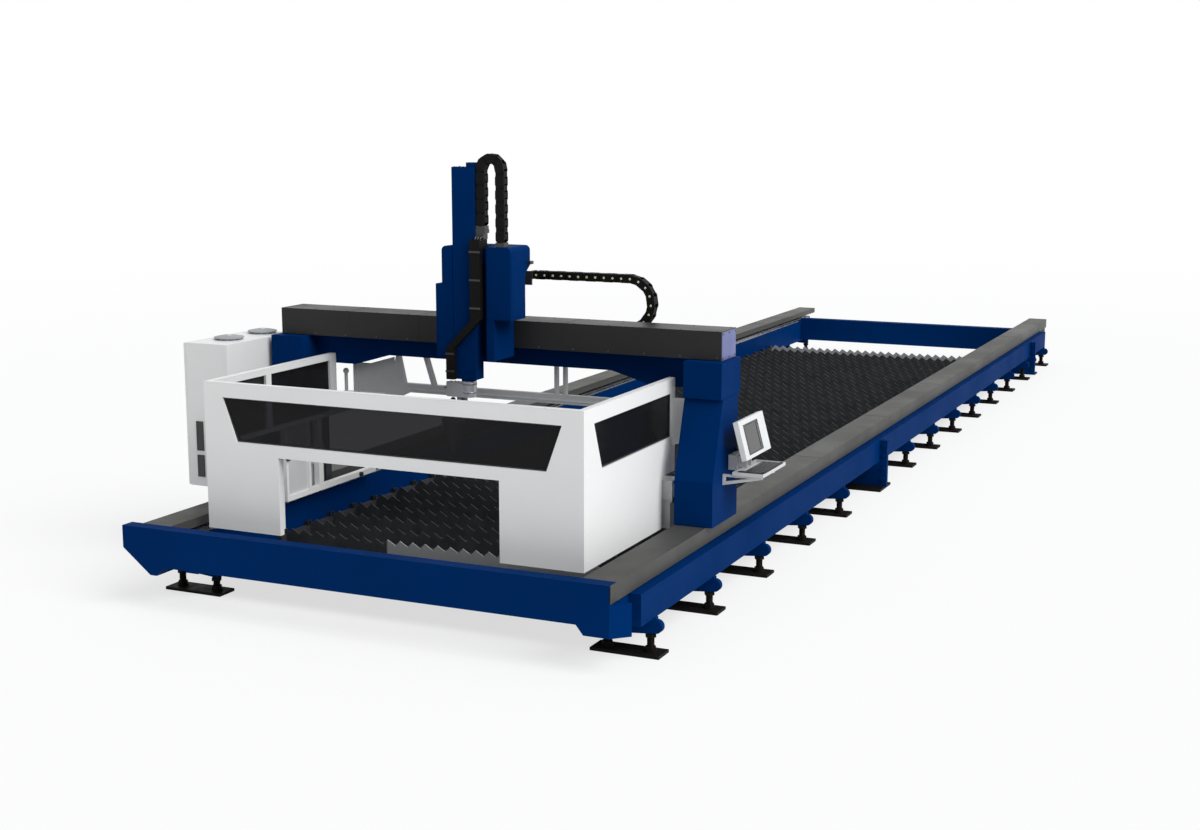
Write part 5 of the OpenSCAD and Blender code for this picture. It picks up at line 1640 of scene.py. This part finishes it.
@dataclass
class Studio:
    """Camera at the photograph's angle, plain soft light and a pale floor. Lengths are in metres here.

    Attributes:
        eye: Place of the camera.
        pitch: Angle of the camera from straight down, in degrees.
        yaw: Angle of the camera about the vertical, in degrees.
        lens: Focal length in millimetres, on a sensor of 36 mm.
        air: Strength of the light from all round.
        sun: Strength of the one lamp.
        sun_size: Angle over which the lamp spreads, in degrees; it gives the soft edge of the shadow.
        sun_from: Direction towards the lamp, on the console side.
        fade: Distances from the middle between which the floor turns from half lit to plain white.
        glow: Share of plain white in the floor near the machine.
    """

    eye: Point = (5.5715, -15.538, 3.200)
    pitch: float = 79.909
    yaw: float = 24.554
    lens: float = 50.0
    air: float = 0.50
    sun: float = 3.0
    sun_size: float = 44.0
    sun_from: Point = (0.85, -0.25, 0.80)
    fade: Pair = (9.0, 24.0)
    glow: float = 0.68

    def seen(self, tree: Tree) -> Socket:
        """Return a value of 1 for the rays that look at the backdrop, straight or by way of metal or glass.

        Args:
            tree: Node tree to add to.

        Returns:
            The value's socket.
        """
        rays = add_node(tree, "LightPath").outputs
        seen = rays["Is Camera Ray"]
        for kind in ("Is Transmission Ray", "Is Glossy Ray"):
            seen = add_node(tree, "Math", {0: seen, 1: rays[kind]}, operation="MAXIMUM").outputs[0]
        return seen

    def camera(self) -> None:
        """Set the camera."""
        data = bpy.data.cameras.new("camera")
        data.lens = self.lens
        data.sensor_width = 36.0
        data.clip_end = 200.0
        camera = add_object("camera", data)
        camera.location = self.eye
        camera.rotation_euler = (math.radians(self.pitch), 0.0, math.radians(self.yaw))
        bpy.context.scene.camera = camera

    def light(self) -> None:
        """Set the world and one broad soft sun from the console side."""
        world = bpy.data.worlds.new("studio_air")
        bpy.context.scene.world = world
        world.use_nodes = True
        tree = world.node_tree
        tree.nodes.clear()
        air = add_node(tree, "Background", {"Color": linear("#E6E8EA"), "Strength": self.air})
        backdrop = add_node(tree, "Background", {"Color": linear("#FFFFFF"), "Strength": 1.0})
        mix = add_node(tree, "MixShader", {0: self.seen(tree), 1: air.outputs[0], 2: backdrop.outputs[0]})
        add_node(tree, "OutputWorld", {"Surface": mix.outputs[0]})
        data = bpy.data.lights.new("soft_sun", "SUN")
        data.energy = self.sun
        data.angle = math.radians(self.sun_size)
        lamp = add_object("soft_sun", data)
        lamp.rotation_euler = Vector(self.sun_from).to_track_quat("Z", "Y").to_euler()

    def floor(self) -> None:
        """Lay the pale floor: matt white board that keeps the shadow and turns plain white far out."""
        material = new_material("white_studio_floor")
        tree = material.node_tree
        matt = add_node(tree, "BsdfDiffuse", {"Color": linear("#F2F2F2")})
        glow = add_node(tree, "Emission", {"Color": linear("#FFFFFF"), "Strength": 1.0})
        place = add_node(tree, "TexCoord").outputs["Object"]
        reach = add_node(tree, "VectorMath", {0: place}, operation="LENGTH").outputs["Value"]
        fade = add_node(tree, "MapRange", {"Value": reach, "From Min": self.fade[0], "From Max": self.fade[1],
                                           "To Min": self.glow, "To Max": 1.0}).outputs["Result"]
        share = add_node(tree, "Math", {0: self.seen(tree), 1: fade}, operation="MULTIPLY")
        mix = add_node(tree, "MixShader", {0: share.outputs[0], 1: matt.outputs[0], 2: glow.outputs[0]})
        add_node(tree, "OutputMaterial", {"Surface": mix.outputs[0]})
        form = Form()
        form.strip([Vector((x, y, 0)) for x, y in ((-60, -40), (60, -40), (60, 80), (-60, 80))], DOWN * 0.01)
        floor = form.thing("studio_floor", material)

    def build(self) -> None:
        """Set the whole studio."""
        self.camera()
        self.light()
        self.floor()
        bpy.context.scene.view_settings.view_transform = "Standard"


def main() -> None:
    """Build the studio and every sub-assembly."""
    logging.basicConfig(level=logging.INFO, format="%(name)s %(message)s")
    for assembly in (Studio(), RailBase(), SlatBed(), Portal(), Enclosure(), Cabinet(), Console(),
                     CROSS_CHAIN, RAM_CHAIN, Carriage(), Ram(), CuttingHead()):
        assembly.build()
        LOG.info("%s done", type(assembly).__name__)


if __name__ == "__main__":
    main()
